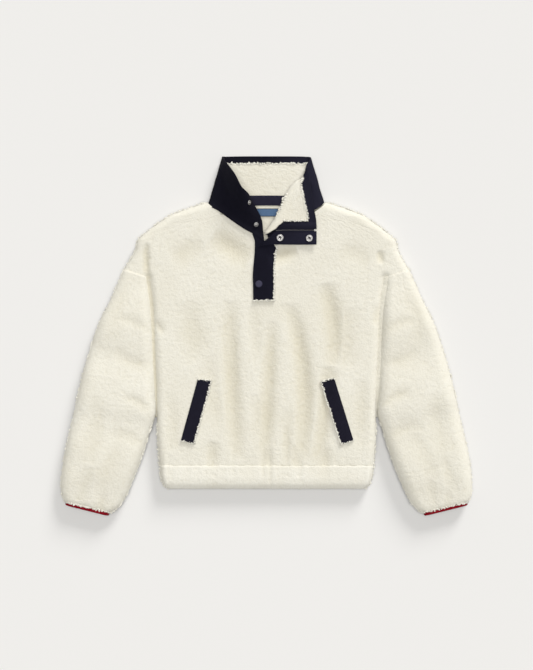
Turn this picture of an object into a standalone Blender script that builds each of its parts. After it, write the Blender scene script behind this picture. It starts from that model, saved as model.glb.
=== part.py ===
"""A sherpa pullover jacket laid flat on a table, as the pieces that are cut and sewn.

The jacket lies on z = 0 with its collar towards +Y and its front up.
Left and right are those of someone looking down at it. Lengths are metres.
Tables are in millimetres and are scaled by MM as they are read.
"""

import bmesh
import bpy
import numpy as np
from mathutils import Vector
from mathutils.bvhtree import BVHTree

MM = 0.001

# cloth
SHERPA = 0.0065  # wall of the body and sleeves, pile included
LINING = 0.0045  # wall of the collar's sherpa lining
NAVY = 0.0014  # one layer of the navy cloth
DOUBLE_NAVY = 0.0024  # a folded strip of it
BAND = 0.0080  # folded sherpa of the hem band
SEAM = 0.0002  # half of the gap left at a seam

# body and sleeves
BODY_TOP = 0.0275  # height of the front where it lies smooth
SIDE_MID = 0.0130  # height of the side fold
TOP_ROUND = 0.0160  # how far the front curves in from the side fold
UNDER_ROUND = 0.0130  # how far the back does
HEM_Y = -0.273
HEM_DIP, HEM_DIP_REACH = 0.0060, 0.0130
ARMHOLE_Y = 0.120  # inner end of the armhole seam
ARMHOLE_X, SHOULDER_X = 0.247, 0.299
ARMHOLE_RISE = 0.016  # how much higher its outer end lies
CREASE_LIFT, CREASE_REACH = 0.0035, 0.014  # the side fold opens out where it meets the armhole
NECK_CENTRE_X, NECK_POINT_Y = -0.004, 0.197
SLIT_HALF, SLIT_BOTTOM_Y = 0.0015, 0.082
BACK_NECK_RISE, NECK_HALF = 0.005, 0.121

# y, half width of the body below the armholes
SIDE = np.array([(-275, 224), (-204, 229), (-157, 229), (-31, 234), (74, 240), (121, 247)]) * MM
# y, half width of the body above them, up to the side of the neck
SHOULDER = np.array(
    [(118, 309), (136, 299), (150, 290), (162, 283), (176, 276), (190, 273), (200, 270), (212, 255),
     (225, 240), (237, 222), (250, 204), (262, 172), (271, 146), (277, 127), (290, 100)]
) * MM
# y, distance of the shoulder seam from the middle
SHOULDER_SEAM = np.array(
    [(197, 270.8), (208, 252), (217, 231), (226, 206), (235, 182), (248, 112), (253, 90)]
) * MM
# y, distance of the neck seam to the left and right of the middle
NECK = np.array(
    [(197, 7, 6), (212, 30, 28), (226, 55, 51), (235, 68, 65), (244, 80, 79), (254, 94, 97),
     (262, 104, 109), (271, 119, 119.5), (277, 123, 123)]
) * MM
# folds of the front: x and y of both ends, sideways bow, width, depth
FOLDS = np.array(
    [
        (-70, 72, -52, -252, -5, 17, 6.5),
        (2, 50, 26, -114, 0, 15, 4.5),
        (40, 52, 93, -74, 0, 16, 5.0),
        (76, -86, 132, -212, 0, 15, 4.5),
        (112, 132, 137, -62, 16, 17, 5.5),
        (-112, -222, -114, -280, 0, 13, 3.0),
        (-2, -226, 1, -280, 0, 13, 3.0),
        (62, -224, 60, -280, 0, 13, 3.0),
        (119, -226, 121, -280, 0, 13, 3.0),
    ]
) * MM

# rows across the body: y, and how much higher its outer ends lie
LOW_ROWS = np.array([-273, -262, -244, -212, -176, -140, -100, -60, -20, 20, 60, 94]) * MM
ARM_ROWS = np.array([(120, 16), (127, 14), (138, 10), (155, 4), (176, 0)]) * MM
NECK_ROWS = np.array([197, 208, 217, 226, 235, 244, 251]) * MM
BACK_ROWS = np.array([258, 264, 271, 277]) * MM

# columns across half a body piece
FRONT_COLUMNS, BACK_COLUMNS = 10, 3  # where it is flat
ROUND_STEPS = np.array([1.0, 0.5, 0.134, 0.0])  # round the side: 90, 60, 30 and 0 degrees of its curve
STUB_STEPS = np.array([0.37, 0.72, 0.87, 0.965, 1.0])  # along the armhole seam, from its inner end
STRIP_STEPS = np.array([0.10, 0.40, 1.0])  # over the shoulder to its seam

# sleeve rings, right side: x and y of the outer end, x and y of the inner end, height, corner
SLEEVE = np.array(
    [
        (299.2, 135.6, 247.9, 119.5, 27.5, 16),
        (311, 108, 245.5, 97, 29, 18),
        (326, 74, 241.3, 62, 32, 22),
        (351, 23, 237.8, -2, 34, 24),
        (368, -27, 235.2, -62, 31, 24),
        (383, -78, 232.8, -118, 34, 26),
        (395, -128, 231.6, -163, 35, 26),
        (406, -179, 242, -212, 32, 26),
        (418, -229, 262, -262, 34, 26),
        (427, -279, 279, -304, 33, 26),
        (430, -319, 296, -342, 29, 22),
        (426, -340, 311, -362, 27, 18),
        (420, -350, 328, -373, 24, 15),
    ]
) * MM
RING_MID, RING_UNDER_ROUND = 0.0135, 0.0140  # height of a ring's side, reach of its curve beneath
RING_TURNS = np.radians([0, 30, 60, 90])
BINDING_WALL, BINDING_LENGTH, BINDING_INSET = 0.0026, 0.0050, 0.0012

# hem band: share of its height, half width, height of the front layer
BAND_HEIGHT = 0.048
BAND_ROWS = np.array(
    [(0.006, 224, 21.3), (0.30, 223, 24), (0.62, 220, 24.5), (0.86, 215, 22.5), (1.0, 208, 18)]
)
BAND_ROWS[:, 1:] *= MM
BAND_MID, BAND_ROUND = 0.0105, 0.0125  # height of its sides, reach of their curve
BAND_FOLD_FROM, FRONT_THINNED, BACK_THINNED = 0.8, 0.35, 0.45  # at the lower fold the walls thin
BAND_FOLD_RISE, GATHER_REACH = 0.003, 0.004

# collar stations from the left front edge round the back to the right front edge:
# base x y z, middle or roll x y z, top x y z, bow of the turned-out cloth, how far it is rolled (0 to 1)
COLLAR = np.array(
    [
        (-5, 198.5, 26, -21, 245, 32, -38.5, 293, 40, 0, 0),
        (-24, 212, 26, -35, 256, 40, -43, 297, 52, 0, 0),
        (-48, 226, 26, -54, 268, 42, -55, 311, 63, 0, 0),
        (-74, 244, 25, -74, 288, 38, -67, 333, 60, 0, 0),
        (-99, 262, 22, -95, 312, 27, -84, 358, 38, 0, 0),
        (-114, 271, 20, -108, 324, 21, -92, 369, 24, 0, 0),
        (-119, 278, 11.5, -110.5, 327, 11.5, -94, 373, 12, 0, 0),
        (-104, 280.5, 2.2, -98, 328, 2.2, -82, 374, 2.2, 0, 0),
        (-50, 283, 2.2, -48, 329, 2.2, -44, 374.5, 2.2, 0, 0),
        (0, 283, 2.2, 0, 329, 2.2, 0, 374.5, 2.2, 0, 0),
        (50, 283, 2.2, 48, 329, 2.2, 44, 374.5, 2.2, 0, 0),
        (104, 280.5, 2.2, 98, 328, 2.2, 82, 374, 2.2, 0, 0),
        (119, 278, 11.5, 109, 322, 11.5, 96, 371, 9, 0, 0),
        (115, 271, 19.5, 104, 312, 19.5, 96, 361, 16, 0, 0),
        (109, 266, 22.5, 86, 319, 21, 92, 350, 25, 0, 0.6),
        (101, 261, 24.5, 73, 319, 21, 90.5, 337, 30, 0, 1),
        (88, 253.5, 26, 58, 307, 21.5, 90.5, 316, 33.5, 0, 1),
        (72, 244, 26, 46, 288, 22.5, 93, 298, 35, 0, 1),
        (52, 231.5, 26, 36, 266, 24, 98, 265, 36, 0, 1),
        (26, 215.5, 26, 24, 240, 25.5, 103, 240, 35, 2, 1),
        (3, 202, 26, 2, 210, 27, 104, 221, 33, 9, 1),
    ]
) * MM
COLLAR[:, 10] /= MM
ROLL = 0.0044  # radius of the roll, between the outer cloth and the lining
SPREAD = 0.07  # share of the height that an unrolled middle spans each way
FACING_WIDTH, FACING_SHARE = 0.0125, 0.55  # width of the facing, and the most of the cloth it takes up
TURNED_SHARES = 0.25, 0.62  # where the turned-out cloth has its two points
COLLAR_ROWS = 31
PINCH_STATION, PINCH_REACH, PINCH = 14.2, 1.4, 0.66  # the lining is squeezed where the roll begins

# turned-out end of the flap: x and y of its upper edge, x and y of its lower edge, height
FLAP_TURNED = np.array(
    [
        (-9, 191, -17, 183.5, 32.2),
        (6, 201, -5, 186, 32.4),
        (19, 212.5, 15, 188, 32.0),
        (42, 215.6, 42, 188, 31.2),
        (73, 215.6, 73, 188, 31.6),
        (104, 215.6, 104, 188, 33.2),
    ]
) * MM
# lower flap: y, x of its left and right edges
FLAP_LOWER = np.array(
    [(78, -27, 13), (100, -27, 13), (122, -27, 13), (150, -26.5, 13), (170, -23, 12), (188, -20, 10)]
) * MM
LYING_GAP, LYING_REACH = 0.0006, 0.004  # a lying strip clears the highest point within this reach

# welts: x and y of the top outer, top inner, bottom inner and bottom outer corners
WELTS = {
    "welt_left": np.array([(-143, -92), (-115, -96), (-151, -226), (-178, -219)]) * MM,
    "welt_right": np.array([(141, -90), (113, -97), (155, -227), (181, -219)]) * MM,
}

# snaps
SNAP_RADIUS, CAP_HEIGHT, SNAP_STEPS = 0.00725, 0.0030, 14
# profiles: shares of the radius and of the height
SNAP_CAP = np.array([(0, 1), (0.55, 0.9), (0.9, 0.6), (1, 0.25), (1, 0), (0, 0)])
SNAP_SOCKET = np.array([(0, 0.25), (0.42, 0.25), (0.5, 0.75), (0.85, 0.7), (1, 0.3), (1, 0), (0, 0)])
SNAP_STUD = np.array([(0, 1.1), (0.28, 1), (0.32, 0.35), (0.7, 0.25), (0.75, 0), (0, 0)])
CAP_AT = (-0.016, 0.106)
SOCKETS_AT = ((0.028, 0.202), (0.089, 0.201))
STUDS_AT = ((0.5, 0.30), (0.5, 0.82))  # collar station, share of the height

# zip
CHAIN_RADIUS = 0.0013
CHAIN = np.array(
    [(20.5, 217, 33), (32, 217.8, 32.8), (48, 218.1, 32.7), (76, 217.8, 33), (99, 217.7, 34.3)]
) * MM
STOP_AT, STOP_SIZE = Vector((0.1015, 0.2177, 0.0345)), Vector((0.0036, 0.0034, 0.0030))

# inside of the neck
TAPE_Y, TAPE_HALF_LENGTH, TAPE_WIDTH, TAPE_HEIGHT = 0.2815, 0.076, 0.021, 0.0012
LABEL_CENTRE, LABEL_SIZE, LABEL_HEIGHT = (0.002, 0.2565), (0.044, 0.017), 0.0009
INSIDE_GAP = 0.0006

COLOURS = {
    "sherpa": ((0.86, 0.83, 0.73, 1), 0.95, 0),
    "navy": ((0.012, 0.012, 0.022, 1), 0.75, 0),
    "red": ((0.50, 0.01, 0.02, 1), 0.8, 0),
    "blue": ((0.06, 0.12, 0.24, 1), 0.7, 0),
    "metal": ((0.55, 0.55, 0.57, 1), 0.3, 1),
    "navy_metal": ((0.02, 0.02, 0.04, 1), 0.35, 0.6),
}


def follow(keys, values, at):
    """Values at the places `at`, on a smooth curve through the table's rows."""
    at = np.clip(at, keys[0], keys[-1])
    values = np.asarray(values)
    slopes = np.gradient(values, keys, axis=0)
    k = np.clip(np.searchsorted(keys, at, side="right") - 1, 0, len(keys) - 2)
    span = keys[k + 1] - keys[k]
    t = (at - keys[k]) / span
    if values.ndim > 1:
        t, span = t[..., None], span[..., None]
    rise = values[k] * (2 * t**3 - 3 * t**2 + 1) + values[k + 1] * (3 * t**2 - 2 * t**3)
    lean = slopes[k] * (t**3 - 2 * t**2 + t) + slopes[k + 1] * (t**3 - t**2)
    return rise + lean * span


def side_width(y):
    return np.interp(y, SIDE[:, 0], SIDE[:, 1])


def shoulder_width(y):
    return np.interp(y, SHOULDER[:, 0], SHOULDER[:, 1])


def seam_width(y):
    """Distance of the shoulder seam from the middle; at and below its end it is the outline."""
    return np.interp(y, SHOULDER_SEAM[:, 0], SHOULDER_SEAM[:, 1])


def neck_width(y, side):
    return np.interp(y, NECK[:, 0], NECK[:, 1 if side < 0 else 2])


def edge_distance(x, y):
    """Distance in from the body's closed outline, and the direction out of it."""
    sign, across = np.where(x < 0, -1.0, 1.0), np.abs(x)
    below = side_width(y) - across
    step = 2 * MM
    lean = (shoulder_width(y + step) - shoulder_width(y - step)) / (2 * step)
    steep = 1 / np.sqrt(1 + lean**2)
    above = (shoulder_width(y) - across) * steep
    to_armhole = np.hypot(across - ARMHOLE_X, y - ARMHOLE_Y)
    low, pit = y <= ARMHOLE_Y, to_armhole < above
    distance = np.where(low, below, np.where(pit, to_armhole, above))
    reach = np.maximum(to_armhole, 1e-6)
    out_x = np.where(low, 1.0, np.where(pit, (ARMHOLE_X - across) / reach, steep)) * sign
    out_y = np.where(low, 0.0, np.where(pit, (ARMHOLE_Y - y) / reach, -lean * steep))
    at_point = ~low & (to_armhole < 1e-5)
    out_x = np.where(at_point, sign, out_x)
    out_y = np.where(at_point, 0.0, out_y)
    lifted = CREASE_LIFT * np.exp(-((to_armhole / CREASE_REACH) ** 2))
    return np.maximum(distance, lifted), out_x, out_y


def fold_depth(x, y):
    """How far the front sinks: each fold is a soft trough along a bowed line, fading at its ends."""
    depth = np.zeros_like(x)
    for x0, y0, x1, y1, bow, width, deep in FOLDS:
        length = np.hypot(x1 - x0, y1 - y0)
        along_x, along_y = (x1 - x0) / length, (y1 - y0) / length
        t = ((x - x0) * along_x + (y - y0) * along_y) / length
        off = (x - x0) * along_y - (y - y0) * along_x
        inside = np.clip(t, 0, 1)
        off = off + 4 * bow * inside * (1 - inside)
        fade = np.clip(4 * inside * (1 - inside), 0, 1) ** 0.5
        depth = np.maximum(depth, deep * fade * np.exp(-((off / width) ** 2)))
    return depth


def front_height(x, y):
    hem = HEM_DIP * np.exp(-(((y - HEM_Y) / HEM_DIP_REACH) ** 2))
    return BODY_TOP - hem - fold_depth(x, y)


def body_surface(x, y, front):
    """A point of the body's outside and the direction out of the cloth there."""
    distance, out_x, out_y = edge_distance(x, y)
    curve = np.where(front, TOP_ROUND, UNDER_ROUND)
    cosine = np.clip(1 - distance / curve, 0, 1)
    sine = np.sqrt(1 - cosine**2)
    height, step = front_height(x, y), 2 * MM
    slope_x = (front_height(x + step, y) - front_height(x - step, y)) / (2 * step)
    slope_y = (front_height(x, y + step) - front_height(x, y - step)) / (2 * step)
    z = np.where(front, SIDE_MID + (height - SIDE_MID) * sine, SIDE_MID * (1 - sine))
    tilt = np.where(front, sine, 0)
    normal = np.stack(
        [cosine * out_x - tilt * slope_x, cosine * out_y - tilt * slope_y, np.where(front, sine, -sine)], -1
    )
    normal /= np.linalg.norm(normal, axis=-1, keepdims=True)
    return np.stack([x, y, z], -1), normal


def square_to_armhole(x, normals):
    """Turns the directions along the armhole seam into the seam's own upright plane."""
    row, slope = len(LOW_ROWS), ARMHOLE_RISE / (SHOULDER_X - ARMHOLE_X)
    side = np.sign(x[row])
    across = np.stack([-slope * side, np.ones_like(side), np.zeros_like(side)], -1) / np.sqrt(1 + slope**2)
    turned = normals[row] - (normals[row] * across).sum(-1, keepdims=True) * across
    turned /= np.linalg.norm(turned, axis=-1, keepdims=True)
    at_seam = np.abs(x[row]) >= ARMHOLE_X - 1e-6
    normals[row] = np.where(at_seam[:, None], turned, normals[row])


def body_rows():
    """y of each shared row in its middle, and how much higher its outer ends lie."""
    y = np.concatenate([LOW_ROWS, ARM_ROWS[:, 0], NECK_ROWS])
    rise = np.concatenate([0 * LOW_ROWS, ARM_ROWS[:, 1], 0 * NECK_ROWS])
    return y, rise


def half_row(start, edge, flat_columns, upper, rounding):
    """Distances of one row's columns from the middle, out to the armhole's inner end and then past it."""
    first = SLIT_HALF if upper else start
    body_edge, last = (ARMHOLE_X, SHOULDER_X) if upper else (edge, edge)
    flat = np.linspace(first, body_edge - rounding, flat_columns, endpoint=False)
    rounded = body_edge - rounding * ROUND_STEPS
    stub = body_edge + (last - body_edge) * STUB_STEPS
    columns = np.concatenate([flat, rounded, stub])
    return start + (edge - start) * (columns - first) / (last - first) if upper else columns


def wall(name, outer, inner, finish, keep=None, around=False):
    """A closed wall between an outer and an inner grid of points, with a rim at its open edges."""
    rows, columns = outer.shape[:2]
    number = np.arange(rows * columns).reshape(rows, columns)
    if around:
        number = np.concatenate([number, number[:, :1]], axis=1)
    quads = np.stack([number[:-1, :-1], number[:-1, 1:], number[1:, 1:], number[1:, :-1]], -1)
    quads = quads[keep] if keep is not None else quads.reshape(-1, 4)
    halves = np.concatenate([quads[:, [0, 1, 2]], quads[:, [0, 2, 3]]])
    within = rows * columns
    sides = {(half[k], half[(k + 1) % 3]) for half in halves.tolist() for k in range(3)}
    rim = [(b, a, a + within, b + within) for a, b in sorted(sides) if (b, a) not in sides]
    faces = halves.tolist() + (halves[:, ::-1] + within).tolist() + rim
    points = np.concatenate([outer.reshape(-1, 3), inner.reshape(-1, 3)])
    mesh = bpy.data.meshes.new(name)
    mesh.from_pydata(points.tolist(), [], faces)
    body = bmesh.new()
    body.from_mesh(mesh)
    bmesh.ops.delete(body, geom=[v for v in body.verts if not v.link_faces], context="VERTS")
    bmesh.ops.recalc_face_normals(body, faces=body.faces)
    body.to_mesh(mesh)
    body.free()
    return place(name, mesh, finish)


def place(name, data, finish):
    """Puts a mesh or curve in the jacket's collection with its finish."""
    thing = bpy.data.objects.new(name, data)
    bpy.data.collections["sherpa_pullover"].objects.link(thing)
    data.materials.append(bpy.data.materials[finish])
    return thing


def make_finishes():
    for name, (colour, roughness, metallic) in COLOURS.items():
        material = bpy.data.materials.new(name)
        material.use_nodes = True
        shader = material.node_tree.nodes["Principled BSDF"]
        shader.inputs["Base Color"].default_value = colour
        shader.inputs["Roughness"].default_value = roughness
        shader.inputs["Metallic"].default_value = metallic


def body_half(side, edges, starts, flat_columns):
    """x and y of one half's columns on every shared row."""
    y, rise = body_rows()
    x = []
    for row, (edge, start) in enumerate(zip(edges, starts)):
        x.append(half_row(start, edge, flat_columns, y[row] >= ARMHOLE_Y, TOP_ROUND))
    x = np.array(x)
    past = np.clip((x - x[:, -6, None]) / np.maximum(x[:, -1, None] - x[:, -6, None], 1e-9), 0, 1)
    return side * x, y[:, None] + rise[:, None] * past


def make_front():
    """The front: one grid whose left and right halves part at the slit and the neck."""
    y, rise = body_rows()
    upper = y >= ARMHOLE_Y
    edge = np.where(upper, shoulder_width(y + rise), side_width(y))
    on_seam = y > NECK_ROWS[0] - MM
    edge = np.where(on_seam, seam_width(np.where(y > NECK_ROWS[0] + MM, y + SEAM, y)) - SEAM, edge)
    halves = []
    for side in (-1, 1):
        centre = side * NECK_CENTRE_X
        start = np.where(y >= NECK_POINT_Y, neck_width(y, side), centre + SLIT_HALF)
        halves.append(body_half(side, edge, start, FRONT_COLUMNS))
    x = np.concatenate([halves[0][0][:, ::-1], halves[1][0]], axis=1)
    rows_y = np.concatenate([halves[0][1][:, ::-1], halves[1][1]], axis=1)
    rows_y[0] += SEAM
    points, normals = body_surface(x, rows_y, True)
    square_to_armhole(x, normals)
    inside = points - SHERPA * normals
    seam = (~on_seam)[:, None] & (np.abs(x) >= edge[:, None] - 1e-6)
    points[..., 2] += SEAM * seam
    inside[..., 2] += SEAM * seam
    keep = np.ones((len(y) - 1, x.shape[1] - 1), bool)
    low_rows = y[:-1] < ARMHOLE_Y
    stub = len(STUB_STEPS)
    keep[low_rows, :stub] = False
    keep[low_rows, -stub:] = False
    keep[y[:-1] >= SLIT_BOTTOM_Y, x.shape[1] // 2 - 1] = False
    return wall("front_panel", points, inside, "sherpa", keep)


def make_back():
    """The back: the lower layer, and above the shoulders the strip that comes forward to the seam."""
    y, rise = body_rows()
    y = np.concatenate([y, BACK_ROWS])
    rise = np.concatenate([rise, 0 * BACK_ROWS])
    upper = y >= ARMHOLE_Y
    edge = np.where(upper, shoulder_width(y + rise), side_width(y))
    with_strip = y > NECK_ROWS[0] - MM
    halves = []
    for side in (-1, 1):
        ends = np.where(y < NECK_ROWS[-1] + MM, seam_width(y - SEAM) + SEAM, neck_width(y, side))
        ends = np.minimum(ends, edge - SEAM / 10)
        x, under_y = [], []
        for row in range(len(y)):
            columns = half_row(0.0, edge[row], BACK_COLUMNS, upper[row], UNDER_ROUND)[1:]
            past = np.clip((columns - columns[-6]) / (columns[-1] - columns[-6] + 1e-9), 0, 1)
            strip = edge[row] + (ends[row] - edge[row]) * STRIP_STEPS
            x.append(side * np.concatenate([columns, strip]))
            outer_y = np.full(len(strip), y[row] + rise[row])
            under_y.append(np.concatenate([y[row] + rise[row] * past, outer_y]))
        halves.append((np.array(x), np.array(under_y)))
    middle = np.zeros((len(y), 1))
    x = np.concatenate([halves[0][0][:, ::-1], middle, halves[1][0]], axis=1)
    rows_y = np.concatenate([halves[0][1][:, ::-1], y[:, None], halves[1][1]], axis=1)
    rows_y[0] += SEAM
    rows_y[-1] += BACK_NECK_RISE * np.clip(1 - (x[-1] / NECK_HALF) ** 2, 0, 1)
    strips = len(STRIP_STEPS)
    over = np.zeros(x.shape, bool)
    over[:, :strips] = over[:, -strips:] = True
    points, normals = body_surface(x, rows_y, over)
    square_to_armhole(x, normals)
    inside = points - SHERPA * normals
    seam = (~with_strip)[:, None] & (np.abs(x) >= edge[:, None] - 1e-6)
    points[..., 2] -= SEAM * seam
    inside[..., 2] -= SEAM * seam
    keep = np.ones((len(y) - 1, x.shape[1] - 1), bool)
    keep[~with_strip[:-1], :strips] = False
    keep[~with_strip[:-1], -strips:] = False
    stub = strips + len(STUB_STEPS)
    low_rows = y[:-1] < ARMHOLE_Y
    keep[low_rows, :stub] = False
    keep[low_rows, -stub:] = False
    return wall("back_panel", points, inside, "sherpa", keep)


def ring_section(rings, inset, wall_depth):
    """Points round each ring: over the top from the inner end to the outer end, then back beneath."""
    outer, inner = rings[:, 0:2], rings[:, 2:4]
    height, corner = rings[:, 4], rings[:, 5]
    width = np.linalg.norm(outer - inner, axis=1)
    along = (outer - inner) / width[:, None]
    top, under = corner - wall_depth - inset, RING_UNDER_ROUND - wall_depth - inset
    low, high = wall_depth + inset, height - wall_depth - inset
    span = width - 2 * (wall_depth + inset)

    def across(reach):
        near = reach[:, None] * (1 - np.cos(RING_TURNS))
        middle = span[:, None] * np.array([0.5])
        return np.concatenate([near, middle, (span[:, None] - near)[:, ::-1]], axis=1)

    lift = np.concatenate([np.sin(RING_TURNS), [1.0], np.sin(RING_TURNS)[::-1]])
    over_x = across(top)
    over_z = RING_MID + (high - RING_MID)[:, None] * lift
    under_x = across(under * np.ones(len(rings)))[:, ::-1][:, 1:-1]
    under_z = RING_MID - (RING_MID - low) * lift[None, 1:-1] * np.ones((len(rings), 1))
    x = np.concatenate([over_x, under_x], axis=1) + wall_depth + inset
    z = np.concatenate([over_z, under_z], axis=1)
    flat = inner[:, None] + along[:, None] * x[..., None]
    return np.concatenate([flat, z[..., None]], axis=-1)


def make_sleeve(name, side):
    rings = SLEEVE.copy()
    rings[:, [0, 2]] *= side
    outer, inner = ring_section(rings, 0.0, 0.0), ring_section(rings, 0.0, SHERPA)
    wall(f"sleeve_{name}", outer, inner, "sherpa", around=True)
    last, before = rings[-1], rings[-2]
    chord = last[0:2] - last[2:4]
    run = side * np.array([chord[1], -chord[0]]) / np.linalg.norm(chord)
    ends = []
    for reach in (2 * SEAM, BINDING_LENGTH / 2, BINDING_LENGTH):
        ring = last.copy()
        ring[0:2] += run * reach
        ring[2:4] += run * reach
        ends.append(ring)
    outer = ring_section(np.array(ends), BINDING_INSET, 0.0)
    inner = ring_section(np.array(ends), BINDING_INSET, BINDING_WALL)
    wall(f"cuff_binding_{name}", outer, inner, "red", around=True)


def make_hem_bands():
    """The front and back layers of the hem band, rounded at the sides and at the lower fold."""
    share, half_width, height = BAND_ROWS.T
    layers = (("hem_band_front", True, FRONT_COLUMNS), ("hem_band_back", False, BACK_COLUMNS))
    for name, front, flat_columns in layers:
        half = []
        for edge in half_width:
            flat = np.linspace(SLIT_HALF, edge - BAND_ROUND, flat_columns, endpoint=False)
            half.append(np.concatenate([flat, edge - BAND_ROUND * ROUND_STEPS]))
        half = np.array(half)
        x = np.concatenate([-half[:, ::-1], half], axis=1)
        y = (HEM_Y - SEAM - BAND_HEIGHT * share)[:, None] * np.ones_like(x)
        cosine = np.clip(1 - (half_width[:, None] - np.abs(x)) / BAND_ROUND, 0, 1)
        sine = np.sqrt(1 - cosine**2)
        gathers = fold_depth(x, np.maximum(y, HEM_Y - GATHER_REACH)) * (1 - share[:, None])
        lower_fold = np.clip((share - BAND_FOLD_FROM) / (1 - BAND_FOLD_FROM), 0, 1)[:, None]
        if front:
            z = BAND_MID + SEAM + (height[:, None] - gathers - BAND_MID) * sine
            thick = BAND * (1 - FRONT_THINNED * lower_fold) - gathers
            drop = sine
        else:
            z = BAND_MID - SEAM - (BAND_MID - SEAM - BAND_FOLD_RISE * lower_fold) * sine
            thick = BAND * (1 - BACK_THINNED * lower_fold)
            drop = -sine
        outer = np.stack([x, y, z], -1)
        inner = np.stack([x - np.sign(x) * thick * cosine, y, z - thick * drop], -1)
        wall(name, outer, inner, "sherpa")


def collar_paths(stations):
    """Ten points up the collar at each station, with the roll where the cloth is turned over."""
    rows = follow(np.arange(len(COLLAR), dtype=float), COLLAR, stations)
    base, roll, top, rolled = rows[:, 0:3], rows[:, 3:6], rows[:, 6:9], rows[:, 10:11]
    bow = rows[:, 9:10] * np.array([0, 1, 0])
    into = roll - (base + top) / 2
    into[:, 2] = 0
    into /= np.maximum(np.linalg.norm(into, axis=1, keepdims=True), 1e-9)
    rise = np.array([0, 0, ROLL])
    low = roll - SPREAD * (top - base) * (1 - rolled) - rise * rolled
    high = roll + SPREAD * (top - base) * (1 - rolled) + rise * rolled
    tip = roll + into * ROLL * rolled
    leg = np.linalg.norm(top - high, axis=1, keepdims=True)
    edge = top + (high - top) * np.minimum(FACING_WIDTH / leg, FACING_SHARE)
    stand = [base + (low - base) * share for share in (0, 1 / 3, 2 / 3)]
    near, far = TURNED_SHARES
    turned = [high + (edge - high) * near + bow, high + (edge - high) * far + bow / 2]
    return np.stack([*stand, low, tip, high, *turned, edge, top], 1)


def collar_normals(paths):
    """Direction out of the lining's side at each point, from its neighbours on the grid."""
    along = np.gradient(paths, axis=0)
    up = np.gradient(paths, axis=1)
    normals = np.cross(along, up)
    return normals / np.linalg.norm(normals, axis=-1, keepdims=True)


def trimmed(grid, first_row, last_row, first_column, last_column):
    """Draws the named borders of a grid in by a seam's gap."""
    grid = grid.copy()
    for wanted, line, beside in (
        (first_row, np.s_[0], np.s_[1]),
        (last_row, np.s_[-1], np.s_[-2]),
        (first_column, np.s_[:, 0], np.s_[:, 1]),
        (last_column, np.s_[:, -1], np.s_[:, -2]),
    ):
        if wanted:
            inward = grid[beside] - grid[line]
            grid[line] += 4 * SEAM * inward / np.linalg.norm(inward, axis=-1, keepdims=True)
    return grid


def collar_layer(name, finish, rows, columns, near, far, drawn_in, keep=None):
    """One layer of the collar: a part of its grid, between two distances from the outer cloth's inside."""
    stations = np.linspace(0, len(COLLAR) - 1, COLLAR_ROWS)
    paths = collar_paths(stations)
    normals = collar_normals(paths)
    squeeze = PINCH * np.exp(-(((stations - PINCH_STATION) / PINCH_REACH) ** 2))
    depth = near + (far - near) * (1 - squeeze * (finish == "sherpa"))
    outer = (paths + depth[:, None, None] * normals)[rows, columns]
    inner = (paths + near * normals)[rows, columns]
    wall(name, trimmed(outer, *drawn_in), trimmed(inner, *drawn_in), finish, keep)


def make_collar():
    every, at_zip = slice(None), slice(-2, None)
    below_facing, facing, turned = slice(0, 9), slice(8, None), slice(6, 9)
    clear_of_zip = np.ones((COLLAR_ROWS - 1, 8), bool)
    clear_of_zip[-1, 6:] = False
    near = 2 * SEAM
    collar_layer("collar_outer", "navy", every, every, -NAVY, 0.0, (0, 0, 0, 0))
    collar_layer("collar_lining", "sherpa", every, below_facing, near, LINING, (0, 0, 0, 1), clear_of_zip)
    collar_layer("collar_facing", "navy", every, facing, near, near + NAVY, (0, 0, 1, 0))
    collar_layer("zip_facing", "navy", at_zip, turned, near, near + NAVY, (1, 0, 1, 1))


def lying(name, finish, corners_x, corners_y, under, thick):
    """A strip that lies on another piece: a grid between two edges, on that piece's own surface."""
    tree = BVHTree.FromObject(under, bpy.context.evaluated_depsgraph_get())
    z = np.zeros_like(corners_x)
    steps = (-LYING_REACH, 0, LYING_REACH)
    for index in np.ndindex(z.shape):
        heights = []
        for dx in steps:
            for dy in steps:
                start = Vector((corners_x[index] + dx, corners_y[index] + dy, 1.0))
                hit = tree.ray_cast(start, Vector((0, 0, -1)))[0]
                if hit is not None:
                    heights.append(hit.z)
        z[index] = max(heights)
    lower = np.stack([corners_x, corners_y, z + LYING_GAP], -1)
    upper = lower + np.array([0, 0, thick])
    return wall(name, upper, lower, finish)


def make_welts(front):
    for name, (top_outer, top_inner, low_inner, low_outer) in WELTS.items():
        down, across = np.meshgrid(np.linspace(0, 1, 9), np.linspace(0, 1, 4), indexing="ij")
        outer = top_outer + down[..., None] * (low_outer - top_outer)
        inner = top_inner + down[..., None] * (low_inner - top_inner)
        plan = outer + across[..., None] * (inner - outer)
        lying(name, "navy", plan[..., 0], plan[..., 1], front, DOUBLE_NAVY)


def make_flaps(front):
    steps = np.linspace(0, 1, 4)
    y, left, right = FLAP_LOWER.T
    x = left[:, None] + (right - left)[:, None] * steps
    lower = lying("flap_lower", "navy", x, y[:, None] * np.ones_like(x), front, DOUBLE_NAVY)
    top, bottom, height = FLAP_TURNED[:, 0:2], FLAP_TURNED[:, 2:4], FLAP_TURNED[:, 4]
    plan = top[:, None] + (bottom - top)[:, None] * np.linspace(0, 1, 3)[None, :, None]
    z = np.broadcast_to(height[:, None, None], plan.shape[:2] + (1,))
    under = np.concatenate([plan, z], -1)
    turned = wall("flap_turned", under + np.array([0, 0, DOUBLE_NAVY]), under, "navy")
    return lower, turned


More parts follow.
